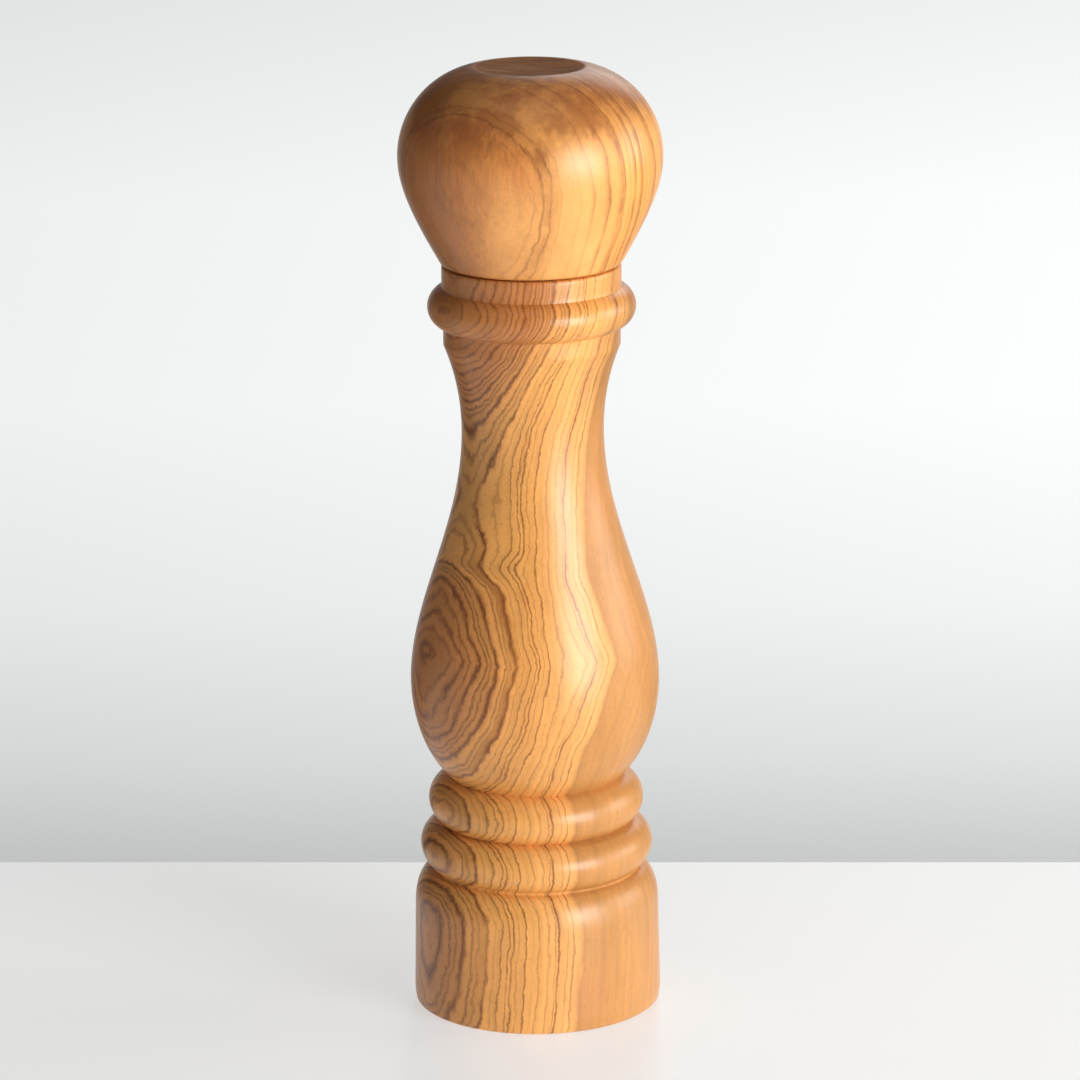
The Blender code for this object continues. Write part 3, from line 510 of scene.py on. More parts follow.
def body_wood(name, polished=True):
    mat = bpy.data.materials.new(name)
    t = Tree(mat)
    ring = body_ring_field(t)
    lines = line_darkness(t, ring, [
        (BODY_LINES_SAP, -4.0, 14.2), (BODY_LINES_MID, 14.2, 25.95),
        (BODY_LINES_HEART, 25.95, 37.6), (BODY_LINES_CORE, 37.6, 51.0)])
    smoke = smoke_darkness(t, ring, BODY_SMOKE, 4.0, 46.0)
    # the lines come and go along their length, and break up towards the sapwood
    fade = t.noise((5.0, 5.0, 13.0), detail=3.0, rough=0.6, shift=(7.3, 2.8, 5.5))
    lines = t.mul(lines, t.span(fade, 0.26, 0.56, 0.45, 1.0), t.span(ring, 3.0, 8.0, 0.5, 1.0))
    patch = t.noise((9.0, 9.0, 14.0), detail=3.0, rough=0.65, shift=(1.3, 8.8, 2.5))
    rag = t.noise((1.1, 1.1, 3.0), detail=3.0, rough=0.7, shift=(2.9, 3.1, 7.7), signed=True)
    smoke = t.mul(smoke, t.span(t.math("MULTIPLY_ADD", rag, 0.20, patch), 0.44, 0.66, 0.06, 1.0))
    # one wide stain that slants down across the rings below the jog
    down = t.math("SUBTRACT", t.z, 104.5)
    slant = t.math("SUBTRACT", t.math("SUBTRACT", ring, 25.6), t.mul(down, 0.055))
    slant = t.math("MULTIPLY_ADD", rag, 0.45, slant)
    stain = t.mul(t.math("EXPONENT", t.mul(t.mul(slant, slant), -1.5)),
                  t.math("EXPONENT", t.mul(t.math("POWER", t.math("ABSOLUTE", t.mul(down, 0.095)), 4.0), -1.0)))
    down2 = t.math("SUBTRACT", t.z, 77.0)
    slant2 = t.math("MULTIPLY_ADD", rag, 0.4, t.math("SUBTRACT", ring, 25.7))
    stain2 = t.mul(t.math("EXPONENT", t.mul(t.mul(slant2, slant2), -2.4)),
                   t.math("EXPONENT", t.mul(t.math("POWER", t.math("ABSOLUTE", t.mul(down2, 0.085)), 4.0), -1.0)), 0.8)
    smoke = t.math("MINIMUM", t.add(smoke, t.mul(stain, 0.95), stain2), 1.0)
    # each year's wood has its own tint
    year = t.t.nodes.new("ShaderNodeTexNoise")
    year.noise_dimensions = "1D"
    t._put(year.inputs["W"], t.mul(ring, 0.55))
    year.inputs["Scale"].default_value, year.inputs["Detail"].default_value = 1.0, 2.0
    tint = t.math("MULTIPLY_ADD", year.outputs["Fac"], 2.0, -1.0)
    edge = t.math("MULTIPLY_ADD", rag, 0.5, ring)
    ground = t.mix(t.span(edge, 4.6, 6.6), SAP, CREAM)
    ground = t.mix(t.span(ring, 9.0, 20.0), ground, GOLD)
    ground = t.mix(t.span(ring, 23.0, 36.0, 0.0, 0.9), ground, HEART)
    shade = t.math("MULTIPLY_ADD", tint, 0.22, 1.0)
    # the neck's outer wood is browner than the same rings lower down
    shade = t.mul(shade, t.math("MULTIPLY_ADD", t.mul(t.span(t.z, 140.0, 162.0), t.span(ring, 17.0, 10.0)), -0.22, 1.0))
    ground = t.mix(1.0, ground, t.xyz(shade, shade, shade), "MULTIPLY")
    colour = t.mix(t.mul(smoke, 0.64), ground, SMOKE)
    colour = t.mix(t.mul(lines, 0.95), colour, LINE)
    wood_surface(t, colour, lines, polished)
    return mat


# The head is a second block, cut so that a smooth reddish tongue of heart fills
# the front left, fenced by one brown band, with thin lines down the right side.
HEAD_LINES_SAP = [
    (-24.0, 0.5, 0.40), (-20.5, 0.45, 0.35), (-17.0, 0.60, 0.36), (-14.2, 0.50, 0.30),
    (-11.6, 0.85, 0.34), (-10.0, 0.55, 0.26), (-8.4, 0.60, 0.24), (-6.6, 0.6, 0.3)]
HEAD_LINES_MID = [
    (-5.0, 0.95, 0.34), (-4.1, 0.65, 0.24), (-1.9, 0.85, 0.32), (0.2, 0.55, 0.24),
    (2.2, 0.85, 0.36), (4.3, 0.35, 0.22), (6.8, 0.60, 0.30), (10.6, 0.40, 0.3), (13.4, 0.25, 0.24)]
HEAD_LINES_HEART = [
    (17.0, 0.30, 0.26), (18.5, 0.60, 0.28), (20.0, 0.75, 0.32), (21.4, 0.25, 0.24), (26.0, 0.2, 0.4)]


def head_wood(name, polished=True):
    mat = bpy.data.materials.new(name)
    t = Tree(mat)
    across = t.math("MULTIPLY_ADD", t.x, -0.545, t.mul(t.y, -0.839))
    low = t.math("SUBTRACT", t.math("MINIMUM", t.z, 209.0), 184.0)
    high = t.math("MAXIMUM", t.math("SUBTRACT", t.z, 209.0), 0.0)
    ring = t.math("SUBTRACT", across, t.add(t.mul(low, 0.20), t.mul(high, 0.10)))
    slow = t.noise((20, 20, 30), detail=1.0, shift=(13.1, 3.7, 1.9), signed=True)
    mid = t.noise((8, 8, 16), detail=2.0, shift=(2.2, 9.1, 4.4), signed=True)
    fine = t.noise((2.0, 2.0, 6.0), detail=3.0, rough=0.6, shift=(7.4, 1.2, 3.1), signed=True)
    ragged = t.noise((0.7, 0.7, 1.6), detail=2.0, rough=0.6, shift=(3.3, 5.2, 2.1), signed=True)
    ring = t.add(ring, t.mul(slow, 0.8), t.mul(mid, 0.9), t.mul(fine, 0.45), t.mul(ragged, 0.2))
    lines = line_darkness(t, ring, [
        (HEAD_LINES_SAP, -26.0, -6.0), (HEAD_LINES_MID, -6.0, 16.0), (HEAD_LINES_HEART, 16.0, 34.0)])
    fade = t.noise((6.0, 6.0, 15.0), detail=3.0, rough=0.6, shift=(3.3, 7.8, 1.5))
    lines = t.mul(lines, t.span(fade, 0.30, 0.60, 0.30, 1.0))
    rag = t.noise((1.3, 1.3, 4.0), detail=3.0, rough=0.7, shift=(1.9, 6.1, 2.7), signed=True)
    patch = t.math("MULTIPLY_ADD", rag, 0.14, t.noise((9, 9, 12), detail=3.0, rough=0.6, shift=(5.3, 1.8, 7.5)))
    bands = t.mul(smoke_darkness(t, ring, [
        (-17.0, 0.50, 2.0), (-11.0, 0.70, 1.6), (-4.6, 0.7, 1.2), (-1.6, 0.75, 1.0), (3.0, 0.85, 1.5),
        (7.0, 0.55, 1.2), (10.8, 0.35, 1.0), (18.9, 1.0, 2.3), (22.6, 0.30, 1.6)], -26.0, 34.0),
        t.span(patch, 0.36, 0.62, 0.42, 1.0))
    # smoky wood under the crown, in broad patches that follow the lines, which is also painted shade darkening the top
    # of the head
    high = t.mul(t.span(t.math("MULTIPLY_ADD", ring, 0.14, t.z), 213.0, 223.0), t.span(patch, 0.36, 0.60, 0.35, 1.0))
    smoke = t.math("MINIMUM", t.add(bands, t.mul(high, 0.95)), 1.0)
    ground = t.mix(t.span(ring, 18.8, 21.6), srgb(236, 166, 88), srgb(224, 146, 76))
    ground = t.mix(t.span(ring, -14.0, -4.0, 0.5, 0.0), ground, CREAM)
    # the tongue is finely streaked and a little redder
    inside = t.span(ring, 18.8, 21.6)
    thread = t.noise((0.8, 0.8, 16.0), detail=3.0, rough=0.6, shift=(5.5, 0.4, 2.6))
    ground = t.mix(t.mul(inside, t.span(thread, 0.42, 0.66), 0.5), ground, srgb(196, 112, 56))
    # painted shade: the left side, turned from the light, and the top under the crown are darkened brown
    painted_shade = t.math("MAXIMUM", t.span(t.x, -6.0, -26.0), t.mul(t.span(t.z, 217.0, 227.0), 0.8))
    ground = t.mix(t.mul(painted_shade, 0.55), ground, srgb(146, 80, 36))
    # paler again low down on the lit side, where the band runs out
    pale = t.mul(t.span(t.z, 214.0, 196.0), t.span(t.x, -16.0, -4.0), t.span(t.x, 20.0, 10.0))
    smoke = t.mul(smoke, t.math("MULTIPLY_ADD", pale, -0.45, 1.0))
    ground = t.mix(t.mul(pale, 0.75), ground, srgb(250, 182, 106))
    colour = t.mix(t.mul(smoke, 0.72), ground, srgb(140, 74, 28))
    colour = t.mix(t.mul(lines, 0.84), colour, srgb(112, 54, 18))
    # the end grain of the crown drinks oil and goes dark
    radius = t.math("SQRT", t.add(t.mul(t.x, t.x), t.mul(t.y, t.y)))
    crown = t.mul(t.span(radius, 12.4, 13.6, 1.0, 0.0), t.span(t.z, 226.0, 227.5))
    sweep = t.noise((9.0, 0.7, 3.0), detail=3.0, rough=0.65, shift=(4.1, 2.2, 0.7))
    colour = t.mix(t.mul(crown, 0.64), colour, t.mix(t.span(sweep, 0.35, 0.65), srgb(104, 66, 40), srgb(158, 106, 64)))
    wood_surface(t, colour, lines, polished, crown)
    return mat


# ================================================================ turned wood
def arc_drop(radius, d):
    return radius - math.sqrt(max(radius * radius - d * d, 0.0))


def ellipse_drop(height, width, d):
    q = min(abs(d) / height, 1.0)
    return width * (1.0 - math.sqrt(1.0 - q * q))


def drum(z):
    if z < FOOT_H:
        return BASE_R - ellipse_drop(FOOT_H, FOOT_W, FOOT_H - z)
    if z < SHOULDER_Z:
        return BASE_R + (BASE_TOP_R - BASE_R) * (z - FOOT_H) / (SHOULDER_Z - FOOT_H)
    return BASE_TOP_R - ellipse_drop(SHOULDER_H, SHOULDER_W, z - SHOULDER_Z)


def bead(spec):
    return lambda z: spec[1] - arc_drop(spec[2], z - spec[0])


def belly(z):
    if z < BELLY_Z:
        return BELLY_R - ellipse_drop(BELLY_LOW_H, BELLY_LOW_W, BELLY_Z - z)
    q = ((z - BELLY_Z) / (WAIST_Z - BELLY_Z)) ** BELLY_FULLNESS
    return BELLY_R - (BELLY_R - WAIST_R) * 0.5 * (1.0 - math.cos(math.pi * q))


def cove(z):
    return WAIST_R + arc_drop(COVE_ROUND, z - WAIST_Z)


def meet(f, g, low, high):
    side = f(low) > g(low)
    for _ in range(60):
        mid = 0.5 * (low + high)
        low, high = (mid, high) if (f(mid) > g(mid)) == side else (low, mid)
    return 0.5 * (low + high)


def even(curve, low, high, step=0.55):
    """Points along r = curve(z), evenly spaced along the curve itself."""
    zs = np.linspace(low, high, 2000)
    rs = np.array([curve(z) for z in zs])
    run = np.concatenate([[0.0], np.cumsum(np.hypot(np.diff(zs), np.diff(rs)))])
    n = max(int(run[-1] / step), 2)
    marks = np.linspace(0.0, run[-1], n + 1)
    return [(float(np.interp(m, run, rs)), float(np.interp(m, run, zs))) for m in marks]


def soften(points, creases, reach=0.35):
    """Take the knife edge off each groove bottom, as the tool's round nose does."""
    out = []
    for r, z in points:
        for rc, zc in creases:
            d = math.hypot(r - rc, z - zc)
            if d < reach:
                r += (reach - d) * 0.32
        out.append((r, z))
    return out


def lower(z):
    d = z - LOWER_BEAD[0]
    return LOWER_BEAD[1] - arc_drop(LOWER_BEAD[2], d * 0.9 if d < 0 else d)


upper, neck = bead(UPPER_BEAD), bead(NECK_BEAD)
fillet_r = lambda z: FILLET_R
collar_r = lambda z: COLLAR_R
g1 = meet(drum, lower, 33.8, 37.0)
g2 = meet(lower, upper, 44.95, 45.45)
g3 = meet(upper, belly, 54.0, 57.25)
n1 = meet(fillet_r, neck, 168.1, 172.0)
n2 = meet(neck, collar_r, 174.0, 177.9)

outline = [(26.6, 0.25), (27.2, 0.06), (27.9, 0.0), (28.8, 0.0)]
outline += [(29.22, 0.10)]
spans = [(drum, 0.42, g1, 0.6), (lower, g1, g2, 0.4), (upper, g2, g3, 0.4), (belly, g3, WAIST_Z, 0.8),
         (cove, WAIST_Z, FILLET_Z0, 0.8), (fillet_r, FILLET_Z0, n1, 0.6), (neck, n1, n2, 0.4),
         (collar_r, n2, COLLAR_TOP_Z - 0.5, 0.6)]
for curve, low, high, step in spans:
    pts = even(curve, low, high, step)
    outline += pts[1:] if curve is not drum else pts
outline = soften(outline, [(drum(g1), g1), (lower(g2), g2), (upper(g3), g3),
                           (FILLET_R, n1), (COLLAR_R, n2)])
outline += [(COLLAR_R - 0.06, COLLAR_TOP_Z - 0.28), (COLLAR_R - 0.2, COLLAR_TOP_Z - 0.1),
            (COLLAR_R - 0.42, COLLAR_TOP_Z), (17.4, COLLAR_TOP_Z)]
bored = [(17.0, COLLAR_TOP_Z - 0.08), (16.6, COLLAR_TOP_Z - 0.4), (16.2, COLLAR_TOP_Z - 0.9),
         (16.0, COLLAR_TOP_Z - 1.4), (16.0, 169.8), (15.7, 169.5), (13.0, 169.5), (12.6, 169.3),
         (12.5, 169.0), (12.5, 140.0), (12.5, 100.0), (12.5, 60.0), (12.5, 49.6), (14.2, 47.0),
         (16.5, 47.0), (16.5, 30.0), (16.5, 8.0), (16.8, 7.6), (23.2, 7.6), (23.5, 7.3),
         (23.5, 1.1), (23.7, 0.5), (24.2, 0.15), (24.9, 0.0), (25.8, 0.0)]
body = lathe("mill_body_turned", outline + bored, steps=192, inner_from=len(outline))
body_mat = body_wood("olive_wood_body")
bore_mat = body_wood("olive_wood_body_bored", polished=False)
body.data.materials.append(body_mat)
body.data.materials.append(bore_mat)
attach(body, "mill_body")
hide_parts("body_shell")


def head_under(z):
    d = HEAD_WIDEST_Z - z
    return HEAD_R - (math.hypot(HEAD_SOFT, HEAD_SLOPE * d) - HEAD_SOFT)


top_turn = math.acos((CROWN_R - (HEAD_R - HEAD_TOP_W)) / HEAD_TOP_W)
seat = [(16.2, HEAD_SEAT_Z), (COLLAR_R - 0.75, HEAD_SEAT_Z), (COLLAR_R - 0.4, HEAD_SEAT_Z + 0.12)]
head_pts = seat + even(head_under, HEAD_SEAT_Z + 0.45, HEAD_WIDEST_Z, 0.7)
for i in range(1, 45):
    a = top_turn * i / 45
    head_pts.append((HEAD_R - HEAD_TOP_W * (1 - math.cos(a)), HEAD_WIDEST_Z + HEAD_TOP_H * math.sin(a)))
crown_z = HEAD_WIDEST_Z + HEAD_TOP_H * math.sin(top_turn)
head_pts += [(CROWN_R + 0.15, crown_z - 0.05), (CROWN_R - 0.1, crown_z), (CROWN_R - 0.5, crown_z - 0.02)]
for i in range(1, 14):
    q = i / 14
    head_pts.append(((CROWN_R - 0.5) * (1 - q), crown_z - CROWN_DISH * math.sin(q * math.pi / 2)))
head_pts.append((0.0, crown_z - CROWN_DISH))
head_in = [(0.0, 208.0), (5.0, 207.0), (7.2, 205.6), (7.2, 190.0), (7.2, 173.5), (12.6, 173.5),
           (12.6, 171.2), (12.8, 171.0), (14.6, 171.0), (15.2, 171.3), (15.6, 172.0), (15.6, 178.0),
           (15.6, HEAD_SEAT_Z - 0.3), (15.8, HEAD_SEAT_Z)]
head = lathe("mill_head_turned", head_pts + head_in, steps=192, closed=True, inner_from=len(head_pts) - 1)
head.data.materials.append(head_wood("olive_wood_head"))
head.data.materials.append(head_wood("olive_wood_head_bored", polished=False))
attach(head, "head")
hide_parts("head_knob")

# ================================================================ finishes of the works
def new_finish(name):
    mat = bpy.data.materials.new(name + "_finish")
    return mat, Tree(mat)


def grey(t, value, colour):
    return t.mix(1.0, colour, t.xyz(value, value, value), "MULTIPLY")


def make_finishes():
    out = {}
    mat, t = new_finish("black_plastic")
    grain = t.noise((0.35, 0.35, 0.35), detail=3.0, rough=0.6, signed=True)
    flow = t.noise((6, 6, 9), detail=2.0, shift=(1.2, 0.4, 3.3), signed=True)
    dust = t.noise((2.2, 2.2, 2.2), detail=4.0, rough=0.7, shift=(7.1, 2.0, 0.3))
    colour = grey(t, t.add(1.0, t.mul(grain, 0.15), t.mul(flow, 0.18)), (0.020, 0.020, 0.022))
    t.to("Base Color", t.mix(t.span(dust, 0.60, 0.80, 0.0, 0.16), colour, (0.16, 0.13, 0.10)))
    t.to("Roughness", t.add(0.44, t.mul(grain, 0.07), t.mul(flow, 0.05)))
    t.to("Normal", t.bump(grain, 0.25, 0.04))
    out["black_plastic"] = mat

    mat, t = new_finish("white_ceramic")
    cloud = t.noise((4, 4, 4), detail=3.0, signed=True)
    speck = t.noise((0.28, 0.28, 0.28), detail=2.0, shift=(2, 1, 5))
    colour = t.mix(t.span(cloud, -0.5, 0.6), (0.80, 0.785, 0.73), (0.86, 0.85, 0.81))
    t.to("Base Color", t.mix(t.span(speck, 0.70, 0.82, 0.0, 0.35), colour, (0.42, 0.38, 0.32)))
    t.to("Roughness", t.math("MULTIPLY_ADD", cloud, 0.06, 0.32))
    t.to("Normal", t.bump(t.noise((0.5, 0.5, 0.5), detail=3.0, signed=True), 0.18, 0.03))
    t.to("IOR", 1.6)
    out["white_ceramic"] = mat

    for name, colour, rough, stretch in (
            ("spring_steel", (0.58, 0.58, 0.59), 0.27, (0.5, 0.5, 2.0)),
            ("shaft_aluminium", (0.74, 0.75, 0.77), 0.34, (0.22, 0.22, 14.0)),
            ("nut_brass", (0.74, 0.50, 0.19), 0.28, (1.2, 1.2, 0.5))):
        mat, t = new_finish(name)
        draw = t.noise(stretch, detail=3.0, rough=0.6, signed=True)
        stain = t.noise((3, 3, 5), detail=3.0, shift=(3.1, 0.2, 6.0), signed=True)
        t.to("Base Color", grey(t, t.add(1.0, t.mul(draw, 0.10), t.mul(stain, 0.12)), colour))
        t.to("Metallic", 1.0)
        t.to("Roughness", t.add(rough, t.mul(draw, 0.08), t.mul(stain, 0.07)))
        t.to("Normal", t.bump(draw, 0.12, 0.02))
        out[name] = mat
    return out


FINISH = make_finishes()


def stand_for(obj, node, body_name, finish_name):
    obj.data.materials.clear()
    obj.data.materials.append(FINISH[finish_name])
    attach(obj, body_name)
    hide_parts(node)
    return obj


# ================================================================ plates and wires
def plate(name, outlines, z0, z1, edge=0.12):
    """Flat piece with softened edges; outlines after the first are holes."""
    data = bpy.data.curves.new(name, "CURVE")
    data.dimensions, data.fill_mode = "2D", "BOTH"
    data.bevel_depth, data.bevel_resolution = edge * MM, 2
    data.offset = -edge * MM
    data.extrude = (0.5 * (z1 - z0) - edge) * MM
    for outline in outlines:
        spline = data.splines.new("POLY")
        spline.points.add(len(outline) - 1)
        for point, (x, y) in zip(spline.points, outline):
            point.co = (x * MM, y * MM, 0.0, 1.0)
        spline.use_cyclic_u = True
    source = link(bpy.data.objects.new(name + "_curve", data))
    bpy.context.view_layer.update()
    mesh = bpy.data.meshes.new_from_object(source.evaluated_get(bpy.context.evaluated_depsgraph_get()))
    bpy.data.objects.remove(source)
    mesh.transform(Matrix.Translation((0, 0, 0.5 * (z0 + z1) * MM)))
    return finish_mesh(link(bpy.data.objects.new(name, mesh)), 40.0)


def c_shape(inner, outer, gap, middle, count):
    a0, sweep_a = middle + gap / 2, TAU - gap
    out = [(outer * math.cos(a0 + sweep_a * i / count), outer * math.sin(a0 + sweep_a * i / count))
           for i in range(count + 1)]
    return out + [(inner * math.cos(a0 + sweep_a * i / count), inner * math.sin(a0 + sweep_a * i / count))
                  for i in range(count, -1, -1)]


def tube(name, path, radius, sides=12):
    """Round wire along a path of points in mm, with domed ends."""
    pts = [Vector(p) for p in path]
    sections = []
    for i, p in enumerate(pts):
        tangent = (pts[min(i + 1, len(pts) - 1)] - pts[max(i - 1, 0)]).normalized()
        across = Vector((p.x, p.y, 0.0)).normalized()
        across = (across - tangent * across.dot(tangent)).normalized()
        other = tangent.cross(across)
        rings = [(0.0, 1.0)]
        if i == 0:
            rings = [(-0.85, 0.35), (-0.55, 0.8), (0.0, 1.0)]
        elif i == len(pts) - 1:
            rings = [(0.0, 1.0), (0.55, 0.8), (0.85, 0.35)]
        for ahead, size in rings:
            c = p + tangent * (ahead * radius)
            sections.append([tuple(c + (across * math.cos(TAU * k / sides) + other * math.sin(TAU * k / sides))
                                   * (radius * size)) for k in range(sides)])
    return loft(name, sections, angle=60.0)


# ================================================================ housing and bridge
SCREW_SPOTS = [(19.9 * math.cos(math.radians(60 + 120 * k)), 19.9 * math.sin(math.radians(60 + 120 * k)))
               for k in range(3)]


def countersink(name, x, y, z, depth):
    tool = lathe(name, [(0.0, depth), (1.45, depth), (1.45, 1.9), (2.8, 0.45), (2.8, -1.2), (0.0, -1.2)],
                 steps=40, closed=False)
    return moved(tool, x, y, z)


housing = lathe("grinder_housing", rounded([
    (15.6, 46.5), (16.2, 45.9), (16.2, 7.3), (23.2, 7.3), (23.2, 5.4), (22.7, 4.9), (15.1, 4.9),
    (14.5, 5.5), (14.5, 7.75), (15.3, 7.75), (15.3, 9.25), (14.5, 9.25), (14.5, 21.8), (13.0, 21.8),
    (13.0, 41.0), (14.5, 41.0), (14.5, 46.5)], 0.22, 3), steps=144)
cut(housing, [countersink("sink_%d" % i, x, y, 5.0, 6.0) for i, (x, y) in enumerate(SCREW_SPOTS)])
stand_for(housing, "mechanism_housing", "mill_body", "black_plastic")

windows = []
for k in range(3):
    low_a = math.pi / 2 + TAU * k / 3
    high_a = low_a + TAU / 3
    half_in, half_out = math.asin(1.6 / 6.6), math.asin(1.6 / 12.9)
    shape = [(12.9 * math.cos(a), 12.9 * math.sin(a))
             for a in np.linspace(low_a + half_out, high_a - half_out, 41)]
    shape += [(6.6 * math.cos(a), 6.6 * math.sin(a))
              for a in np.linspace(high_a - half_in, low_a + half_in, 23)]
    windows.append([(float(x), float(y)) for x, y in shape])
bridge = plate("three_arm_bridge", [circle(14.2, 128), circle(4.72, 64)] + windows, 41.3, 45.3, 0.25)
stand_for(bridge, "bearing_bridge", "mill_body", "black_plastic")

stand_for(plate("thrust_washer_turned", [circle(6.2, 96), circle(4.9, 72)], 45.6, 46.1, 0.08),
          "thrust_washer", "mill_body", "spring_steel")
stand_for(plate("ring_clip_bent", [c_shape(13.2, 15.0, math.radians(14), math.radians(90), 120)],
                8.0, 9.0, 0.18), "ring_clip", "mill_body", "spring_steel")


# ================================================================ burrs
def tooth_wave(a):
    """0 on a tooth's crest, 1 in its root, with slightly rounded corners."""
    k = 0.965
    edge = math.acos(k)
    return (math.acos(k * math.cos(a)) - edge) / (math.pi - 2 * edge)


def toothed(r, depth, twist, count=240):
    out = []
    for i in range(count):
        a = TAU * i / count
        q = r + depth * tooth_wave(24 * (a - twist))
        out.append((q * math.cos(a), q * math.sin(a)))
    return out


def between(z, points):
    return float(np.interp(z, [p[0] for p in points], [p[1] for p in points]))


TWIST = math.radians(16)
ring_line = [(9.5, 12.15), (14.0, 10.9), (17.75, 11.6), (21.5, 12.3)]
ring_turn = [(9.5, 0.0), (14.0, 0.4), (17.75, 0.7), (21.5, 1.0)]
rows = [at(circle(13.9, 240), 21.5), at(circle(14.2, 240), 21.2), at(circle(14.2, 240), 9.8),
        at(circle(13.9, 240), 9.5)]
for z in np.linspace(9.5, 21.5, 19):
    z = float(z)
    rows.append(at(toothed(between(z, ring_line), 0.85, TWIST * between(z, ring_turn)), z))
stand_for(loft("ceramic_ring", rows, ring=True, angle=28.0), "grinding_ring", "mill_body", "white_ceramic")

cone_line = [(9.0, 11.65), (13.5, 10.4), (16.75, 9.25), (20.0, 7.4)]
cone_turn = [(9.0, 0.0), (13.5, 0.4), (16.75, 0.7), (20.0, 1.0)]
hexagon = polar_polygon(6, 5.75 * math.cos(math.pi / 6), 0.35, 240, math.pi / 6)
rows = [at(hexagon, 20.0), at(hexagon, 9.0)]
for z in np.linspace(9.0, 20.0, 19):
    z = float(z)
    rows.append(at(toothed(between(z, cone_line), -0.85, -TWIST * between(z, cone_turn)), z))
stand_for(loft("ceramic_cone", rows, ring=True, angle=28.0), "grinding_cone", "cone", "white_ceramic")

# feed hub with three swept vanes
N = 96
hexagon = polar_polygon(6, 5.4 * math.cos(math.pi / 6), 0.35, N, math.pi / 6)
square_hole = polar_polygon(4, 2.7, 0.2, N)
hub = loft("feed_hub_core", [
    at(hexagon, 9.0), at(hexagon, 20.3), at(circle(6.4, N), 20.3), at(circle(6.6, N), 20.5),
    at(circle(6.6, N), 21.8), at(circle(6.45, N), 22.1), at(circle(6.0, N), 22.8),
    at(circle(6.0, N), 26.5), at(circle(5.7, N), 26.8), at(square_hole, 26.8), at(square_hole, 9.0)], ring=True)
blades = []
for k in range(3):
    rows = []
    for i in range(25):
        q = i / 24
        a = TAU * k / 3 + math.radians(48) * q
        z_top = 26.2 - 3.2 * q
        z_low = z_top - 2.4
        r0, r1 = 4.9, 10.0 - 2.2 * q * q
        c, s_ = math.cos(a), math.sin(a)
        section = [(r0, z_low), (r1 - 0.3, z_low + 0.42), (r1, z_low + 0.75), (r1, z_top - 0.6),
                   (r1 - 0.3, z_top - 0.28), (r0, z_top)]
        rows.append([(r * c, r * s_, z) for r, z in section])
    blades.append(loft("blade_%d" % k, rows))
cut(hub, blades, "UNION")
stand_for(hub, "feed_hub", "cone", "black_plastic")
stand_for(plate("knob_washer_turned", [circle(6.6, 96), circle(2.4, 48)], 8.0, 8.7, 0.1),
          "knob_washer", "cone", "spring_steel")

# ================================================================ shaft line
N = 64
bar = lambda w, corner=0.35: polar_polygon(4, w / 2, corner, N)
rows = []
thread_turns = np.linspace(4.0, 10.2, 72)
rows.append(at(circle(1.35, N), 4.0))
for z in thread_turns[1:]:
    z = float(z)
    section = []
    fade_in = min((z - 4.0) / 0.7, 1.0)
    for i in range(N):
        a = TAU * i / N
        phase = (z / 0.7 - a / TAU) % 1.0
        r = 1.62 + 0.36 * fade_in * (1.0 - abs(2.0 * phase - 1.0))
        section.append((r * math.cos(a), r * math.sin(a), z))
    rows.append(section)
rows += [at(circle(1.6, N), 10.4), at(bar(3.6), 10.4), at(bar(5.0), 11.2), at(bar(5.0), 47.7),
         at(circle(2.1, N), 47.7), at(circle(2.1, N), 48.9), at(bar(5.0), 48.9)]
rows += [at(bar(5.0), float(z)) for z in np.linspace(60, 200, 8)]
rows += [at(bar(5.0), 202.6), at(bar(4.4), 203.2), at(bar(3.4), 203.8), at(bar(2.6), 204.0)]
stand_for(loft("square_shaft", rows, angle=30.0), "drive_shaft", "drive", "shaft_aluminium")

square_hole = polar_polygon(4, 2.7, 0.2, N)
bush = loft("shaft_bush_moulded", [
    at(square_hole, 41.5), at(circle(4.35, N), 41.5), at(circle(4.6, N), 41.75), at(circle(4.6, N), 46.4),
    at(circle(6.15, N), 46.4), at(circle(6.3, N), 46.55), at(circle(6.3, N), 47.25), at(circle(6.05, N), 47.5),
    at(square_hole, 47.5)], ring=True)
stand_for(bush, "shaft_bush", "drive", "black_plastic")
stand_for(plate("shaft_clip_pressed", [c_shape(2.35, 5.0, math.radians(96), math.radians(20), 64)],
                47.9, 48.7, 0.15), "shaft_clip", "drive", "spring_steel")
seat_hole = polar_polygon(4, 2.7, 0.2, 64)
stand_for(plate("spring_seat_pressed", [circle(6.3, 96), seat_hole], 40.2, 41.0, 0.12),
          "spring_seat", "drive", "spring_steel")

coil, turns_all, per = [], 4.5, 36
z_low, z_high, pitch_end = 27.1 + 0.45, 39.9 - 0.45, 1.02
for i in range(int(turns_all * per) + 1):
    n_turn = i / per
    if n_turn < 1.0:
        z = z_low + pitch_end * n_turn
    elif n_turn > turns_all - 1.0:
        z = z_high - pitch_end * (turns_all - n_turn)
    else:
        z = z_low + pitch_end + (z_high - z_low - 2 * pitch_end) * (n_turn - 1.0) / (turns_all - 2.0)
    a = TAU * n_turn
    coil.append((4.9 * math.cos(a), 4.9 * math.sin(a), z))
spring = stand_for(tube("compression_spring", coil, 0.45), "cone_spring", "drive", "spring_steel")
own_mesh(spring)

# ================================================================ adjuster


def lobes(scale):
    out = []
    for i in range(160):
        a = TAU * i / 160
        # rounded grips with narrower valleys between them
        r = (7.5 + 0.45 * math.cos(8 * a) + 0.06 * math.cos(16 * a)) * scale
        r = min(r, 7.95 * scale)
        out.append((r * math.cos(a), r * math.sin(a)))
    return out


